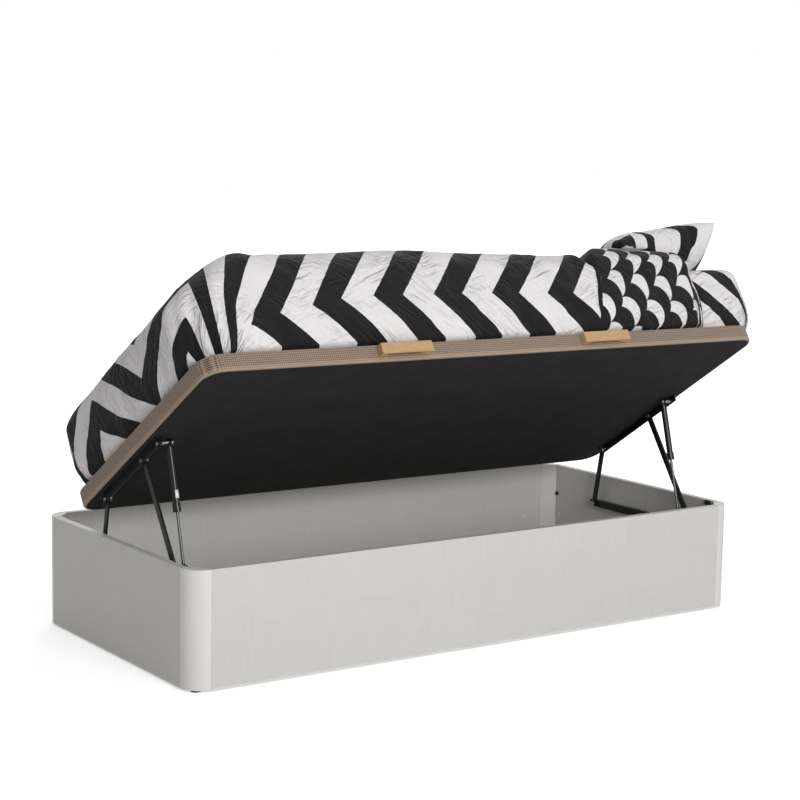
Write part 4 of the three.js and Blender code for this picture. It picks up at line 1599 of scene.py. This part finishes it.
@dataclass
class Bedding:
    """Mattress, duvet, turned-down end and pillow, in the lid's frame."""

    length: float = 1900 * MM
    width: float = 900 * MM
    base: float = 50.3 * MM
    mattress_top: float = 265.3 * MM
    fold_hem: float = 325 * MM
    fold_top: float = 430 * MM
    fold_reach: float = 70 * MM
    fold_draw: float = 12 * MM
    draw_reach: float = 250 * MM
    corner_radius: float = 130 * MM
    crown: float = 8 * MM
    foot_loft: float = 22 * MM
    crest_loft: float = 108 * MM
    crest_reach: float = 225 * MM
    middle_loft: float = 76 * MM
    folded_loft: float = 40 * MM
    folded_inset: float = 30 * MM
    turned_loft: float = 97 * MM
    turned_fall: float = 24 * MM
    turned_inset: float = 160 * MM
    duvet_inset: float = 196 * MM

    @property
    def half(self) -> float:
        """Half the bed's length."""
        return self.length / 2

    def mattress_layer(self) -> Layer:
        """The mattress.

        Returns:
            The layer.
        """
        return Layer(
            foot=12 * MM - self.half,
            head=self.half + 27 * MM,
            near=12 * MM - self.width,
            far=-12 * MM,
            foot_radius=140 * MM,
            head_radius=45 * MM,
            base=self.base,
            top=self.mattress_top - 5 * MM,
            shoulder=46 * MM,
            tuck=14 * MM,
            bulge=12 * MM,
            crown=5 * MM,
            long_steps=120,
            end_steps=56,
            corner_steps=12,
        )

    def duvet_height(self, x: np.ndarray) -> np.ndarray:
        """The duvet's height along the bed, as a share of its highest.

        Args:
            x: Places along the bed.

        Returns:
            A share for each place.
        """
        full = self.mattress_top + self.crest_loft - self.base
        climb = smoothstep(x, -self.half, self.crest_reach - self.half)
        loft = self.foot_loft + (self.crest_loft - self.foot_loft) * climb
        loft += (self.middle_loft - loft) * smoothstep(x, -self.half / 2, self.fold_top)
        hem, top = self.fold_hem + self.folded_inset, self.fold_top + self.folded_inset
        loft += (self.folded_loft - loft) * smoothstep(x, hem, top)
        return (self.mattress_top + loft - self.base) / full

    def duvet_layer(self) -> Layer:
        """The duvet under its turned-down end.

        Returns:
            The layer, before its head end is folded away.
        """
        return Layer(
            foot=-self.half,
            head=self.half - self.duvet_inset,
            near=-self.width,
            far=0.0,
            foot_radius=self.corner_radius,
            head_radius=60 * MM,
            base=self.base,
            top=self.mattress_top + self.crest_loft - self.crown,
            shoulder=96 * MM,
            tuck=20 * MM,
            bulge=10 * MM,
            crown=self.crown,
            long_steps=124,
            end_steps=54,
            corner_steps=16,
            wall_rows=18,
            shoulder_rows=14,
            height_share=self.duvet_height,
        )

    def turndown_height(self, x: np.ndarray) -> np.ndarray:
        """The turned-down end's height along the bed, as a share of its highest.

        Args:
            x: Places along the bed.

        Returns:
            A share for each place.
        """
        full = self.mattress_top + self.turned_loft - self.base
        fall = self.turned_fall * smoothstep(x, self.fold_top, self.half - self.turned_inset)
        return (self.mattress_top + self.turned_loft - fall - self.base) / full

    def turndown_layer(self) -> Layer:
        """The turned-down end, before its free edge is slanted.

        Returns:
            The layer.
        """
        return Layer(
            foot=self.fold_hem,
            head=self.half - self.turned_inset,
            near=-self.width,
            far=0.0,
            foot_radius=16 * MM,
            head_radius=60 * MM,
            base=self.base,
            top=self.mattress_top + self.turned_loft - self.crown,
            shoulder=84 * MM,
            tuck=10 * MM,
            bulge=12 * MM,
            crown=self.crown,
            least_radius=14 * MM,
            long_steps=40,
            end_steps=66,
            corner_steps=10,
            wall_rows=18,
            shoulder_rows=14,
            height_share=self.turndown_height,
        )

    def build(self) -> None:
        """Builds the four pieces."""
        self.mattress()
        self.duvet()
        self.turndown()
        self.pillow()

    def piece(self, name: str, shell: Shell, finish: str, node: str) -> bpy.types.Object:
        """Adds a shell as a piece in the lid's frame, with its print places.

        Args:
            name: The piece's name.
            shell: Its skin.
            finish: The name of its finish.
            node: The frame node that it stands for.

        Returns:
            The new object.
        """
        mesh = mesh_of(name, shell.points, shell.faces)
        places = np.column_stack([shell.unrolled, np.zeros(len(shell.unrolled))])
        attribute = mesh.attributes.new("print", "FLOAT_VECTOR", "POINT")
        attribute.data.foreach_set("vector", places.astype(np.float32).ravel())
        made = bpy.data.objects.new(name, mesh)
        bpy.context.scene.collection.objects.link(made)
        mesh.materials.append(material(finish))
        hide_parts(node)
        return made

    def settle(self, made: bpy.types.Object, subdivide: bool = True) -> None:
        """Takes a piece from the lid's frame to the row frame and puts it on the lid.

        Args:
            made: The piece.
            subdivide: Whether its skin is smoothed.
        """
        made.data.transform(LID.matrix)
        made.data.update()
        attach(made, "lid")
        if subdivide:
            modifier = made.modifiers.new("smooth", "SUBSURF")
            modifier.levels = 1
            modifier.render_levels = 1
        LOG.info("%s: %d faces on the lid", made.name, len(made.data.polygons))

    def mattress(self) -> None:
        """The mattress in its fitted sheet."""
        shell = Shell.of(self.mattress_layer())
        FittedSheet().press(shell.points, self.base, -self.width / 2)
        made = self.piece("made_mattress", shell, "sheet_cotton", "mattress")
        self.settle(made, False)

    def duvet(self) -> None:
        """The duvet, drawn in at its hem and folded away under its turned-down end."""
        layer = self.duvet_layer()
        shell = Shell.of(layer)
        points = shell.points
        edge = self.fold_hem + self.lean(points) * (points[:, 2] - self.base)
        folded = smoothstep(points[:, 0] - edge, 0.0, self.fold_reach)
        side = np.clip((points[:, 1] + self.width / 2) / self.draw_reach, -1, 1)
        points[:, 1] -= side * folded * self.fold_draw
        for pleats in (self.near_corner(), self.far_corner()):
            pleats.press(points, self.base, points[:, 2].max())
        made = self.piece("quilted_duvet", shell, "duvet_cotton", "duvet")
        Rumple().press(made.data, layer.base, layer.top)
        hem = np.arange(len(points)) < 2 * shell.columns
        held = np.maximum(hem.astype(float), folded)
        Puff(pressure=0.9, growth=0.03, cap=7 * MM).run(made, held)
        self.settle(made)

    def lean(self, points: np.ndarray) -> float:
        """How far the fold's free edge moves towards the head end for each metre up."""
        return (self.fold_top - self.fold_hem) / (points[:, 2].max() - self.base)

    def near_corner(self) -> Pleats:
        """The duvet's pleats at the foot end, on the open side."""
        return Pleats((self.corner_radius - self.half, self.corner_radius - self.width))

    def far_corner(self) -> Pleats:
        """The duvet's pleats at the foot end, on the hinge side."""
        centre = (self.corner_radius - self.half, -self.corner_radius)
        return Pleats(centre, (108.0, 124.0, 143.0, 160.0), lean=-24.0)

    def turndown(self) -> None:
        """The duvet's turned-down end, whose free edge slants over the side."""
        layer = self.turndown_layer()
        shell = Shell.of(layer)
        points = shell.points
        weight = ramp(points[:, 0], layer.head, layer.foot)
        points[:, 0] += weight * self.lean(points) * (points[:, 2] - self.base)
        made = self.piece("turned_down_end", shell, "turndown_cotton", "duvet_turndown")
        Rumple(broad=3 * MM, drag=1.5 * MM, pucker=2 * MM).press(made.data, layer.base, layer.top)
        hem = np.arange(len(points)) < 2 * shell.columns
        Puff(pressure=1.2, growth=0.025, cap=7 * MM).run(made, hem.astype(float))
        self.settle(made)

    def pillow(self) -> None:
        """The pillow, with drawn-in edges between pointed corners."""
        Pillow(self).build()


@dataclass
class Pillow:
    """A stuffed pillow that leans on the turned-down end."""

    bedding: Bedding
    width: float = 420 * MM
    length: float = 700 * MM
    upper: float = 52 * MM
    lower: float = 150 * MM
    draw: float = 26 * MM
    overhang: float = 40 * MM
    edge_inset: float = 25 * MM
    seam_height: float = 128 * MM
    tilt: float = math.radians(-7)
    fullness: float = 0.6
    bed_gap: float = 3 * MM
    step_height: float = 83 * MM
    step_span: tuple[float, float] = (-90 * MM, 12 * MM)
    touch: float = 0.001 * MM
    across_steps: int = 44
    along_steps: int = 72

    def surface(self, face: int) -> np.ndarray:
        """Points of the upper or the lower face, round the pillow's own middle.

        Args:
            face: 1 for the upper face and 0 for the lower one.

        Returns:
            Positions of shape (across, along, 3).
        """
        across = np.linspace(-1, 1, self.across_steps + 1)[:, None]
        along = np.linspace(-1, 1, self.along_steps + 1)[None, :]
        x = across * (self.width / 2 - self.draw * (1 - along**2))
        y = along * (self.length / 2 - self.draw * (1 - across**2))
        full = np.clip((1 - across**4) * (1 - along**4), 0, 1) ** self.fullness
        z = (self.upper if face else -self.lower) * full
        return np.stack(np.broadcast_arrays(x, y, z), -1)

    def support(self, points: np.ndarray) -> np.ndarray:
        """Height of the bedding under each point.

        Args:
            points: Points in the lid's frame.

        Returns:
            A height for each point.
        """
        bed = self.bedding
        edge = bed.half - bed.turned_inset
        over = 1 - smoothstep(points[..., 0] - edge, *self.step_span)
        return bed.mattress_top + self.bed_gap + self.step_height * over

    def build(self) -> None:
        """Builds the pillow as two faces sewn round their edge."""
        bed = self.bedding
        place = Matrix.Translation(
            (
                bed.half + self.overhang - self.width / 2,
                self.edge_inset + self.length / 2 - bed.width,
                bed.mattress_top + self.seam_height,
            )
        ) @ Matrix.Rotation(self.tilt, 4, "Y")
        turn = np.array(place.to_3x3())
        upper = self.surface(1) @ turn.T + np.array(place.translation)
        lower = self.surface(0) @ turn.T + np.array(place.translation)
        lower[..., 2] = np.maximum(lower[..., 2], self.support(lower))
        rows, columns = upper.shape[:2]
        index = np.arange(rows * columns).reshape(rows, columns)
        under = index.copy()
        inner = np.arange((rows - 2) * (columns - 2)).reshape(rows - 2, columns - 2)
        under[1:-1, 1:-1] = rows * columns + inner
        faces: list[tuple[int, ...]] = []
        for i in range(rows - 1):
            for j in range(columns - 1):
                faces.append((index[i, j], index[i + 1, j], index[i + 1, j + 1], index[i, j + 1]))
                faces.append((under[i, j], under[i, j + 1], under[i + 1, j + 1], under[i + 1, j]))
        points = np.concatenate([upper.reshape(-1, 3), lower[1:-1, 1:-1].reshape(-1, 3)])
        shell = Shell(points, points[:, :2].copy(), [tuple(int(v) for v in f) for f in faces], columns)
        made = bed.piece("pillow_in_case", shell, "pillow_cotton", "pillow")
        held = np.zeros(len(points))
        below = points[rows * columns :]
        held[rows * columns :] = below[:, 2] <= self.support(below) + self.touch
        Puff(pressure=2.0, growth=0.03, cap=11 * MM).run(made, held)
        bed.settle(made)


@dataclass
class Studio:
    """Floor, light and the camera at the photograph's angle."""

    position: tuple[float, float, float] = (-3.25727, -4.73184, 1.43092)
    yaw: float = 0.6026
    pitch: float = 0.1341
    roll: float = 0.0170
    focal: float = 1932.79
    picture: float = 800.0
    sensor: float = 36.0
    fill: float = 0.46
    shown: float = 1.0
    floor_half: float = 30.0
    floor_tone: tuple[float, float, float, float] = (0.82, 0.82, 0.82, 1.0)
    fade: tuple[float, float, float, float] = (1.6, 6.0, 0.5, 1.0)

    def build(self) -> None:
        """Makes the stage."""
        self.camera()
        self.world()
        self.floor()
        self.lights()
        bpy.context.scene.view_settings.view_transform = "Standard"

    def camera(self) -> None:
        """Places the camera by its yaw, pitch and roll."""
        sy, cy = math.sin(self.yaw), math.cos(self.yaw)
        sp, cp = math.sin(self.pitch), math.cos(self.pitch)
        sr, cr = math.sin(self.roll), math.cos(self.roll)
        level, side, up = Vector((sy, cy, 0)), Vector((cy, -sy, 0)), Vector((0, 0, 1))
        forward = level * cp - up * sp
        lifted = level * sp + up * cp
        right = side * cr + lifted * sr
        top = lifted * cr - side * sr
        data = bpy.data.cameras.new("camera")
        data.sensor_width = self.sensor
        data.lens = self.focal / self.picture * self.sensor
        data.clip_end = 100
        made = bpy.data.objects.new("camera", data)
        turn = Matrix((right, top, -forward)).transposed()
        made.matrix_world = Matrix.Translation(self.position) @ turn.to_4x4()
        bpy.context.scene.collection.objects.link(made)
        bpy.context.scene.camera = made

    def rays(self, graph: Graph, *kinds: str) -> Signal:
        """One for rays of these kinds, and zero for the rest.

        Args:
            graph: The graph of a material or the world.
            kinds: The rays' names, as the node has them.

        Returns:
            The signal.
        """
        path = graph.node("ShaderNodeLightPath")
        seen = Signal(graph, path.outputs[f"Is {kinds[0]} Ray"])
        for kind in kinds[1:]:
            seen = graph.math("MAXIMUM", seen, Signal(graph, path.outputs[f"Is {kind} Ray"]))
        return seen

    def world(self) -> None:
        """A soft even light that shows as white to the camera and in reflections."""
        graph = Graph(bpy.data.worlds.new("studio"))
        bpy.context.scene.world = graph.owner
        seen = self.rays(graph, "Camera", "Transmission", "Glossy")
        ground = graph.tree.nodes["Background"]
        ground.inputs["Color"].default_value = (1, 1, 1, 1)
        graph.feed(ground.inputs["Strength"], seen * (self.shown - self.fill) + self.fill)

    def floor(self) -> None:
        """A pale floor that fades to white for the camera and keeps the shadow."""
        reach = self.floor_half
        corners = [(x * reach, y * reach, 0) for x, y in ((-1, -1), (1, -1), (1, 1), (-1, 1))]
        mesh = mesh_of("floor", corners, [(0, 1, 2, 3)])
        made = bpy.data.objects.new("floor", mesh)
        bpy.context.scene.collection.objects.link(made)
        graph = Graph.material("floor")
        away = graph.node("ShaderNodeVectorMath", operation="LENGTH")
        graph.feed(away.inputs[0], graph.place)
        glow = graph.remap(Signal(graph, away.outputs["Value"]), *self.fade, kind="LINEAR")
        finish = graph.finish(
            Base_Color=self.floor_tone,
            Roughness=0.9,
            Emission_Color=(1, 1, 1, 1),
            Emission_Strength=self.rays(graph, "Camera") * glow,
        )
        mesh.materials.append(finish)

    def lights(self) -> None:
        """A large soft key from the front, a weak lamp from above and one from behind."""
        self.lamp("key", (-0.6, -5.2, 2.1), (0.1, 0.0, 0.3), 2.0, 146)
        self.lamp("top", (0.6, -1.2, 4.4), (0.0, 0.0, 0.6), 3.0, 20)
        self.lamp("back", (2.6, 4.4, 2.9), (0.0, 0.0, 0.4), 2.4, 70)

    def lamp(
        self, name: str, place: Sequence[float], target: Sequence[float], size: float, power: float
    ) -> None:
        """Adds a square area lamp that faces a target.

        Args:
            name: The lamp's name.
            place: Where it hangs.
            target: What it faces.
            size: The length of its sides.
            power: Its power in watts.
        """
        data = bpy.data.lights.new(name, "AREA")
        data.size = size
        data.energy = power
        made = bpy.data.objects.new(name, data)
        made.location = place
        made.rotation_euler = (Vector(target) - Vector(place)).to_track_quat("-Z", "Y").to_euler()
        bpy.context.scene.collection.objects.link(made)


def main() -> None:
    """Builds the bed and its stage."""
    logging.basicConfig(level=logging.INFO, format="%(message)s")
    Studio().build()
    StorageBox().build()
    LiftGear().build()
    LidPanel().build()
    Bedding().build()


if __name__ == "__main__":
    main()
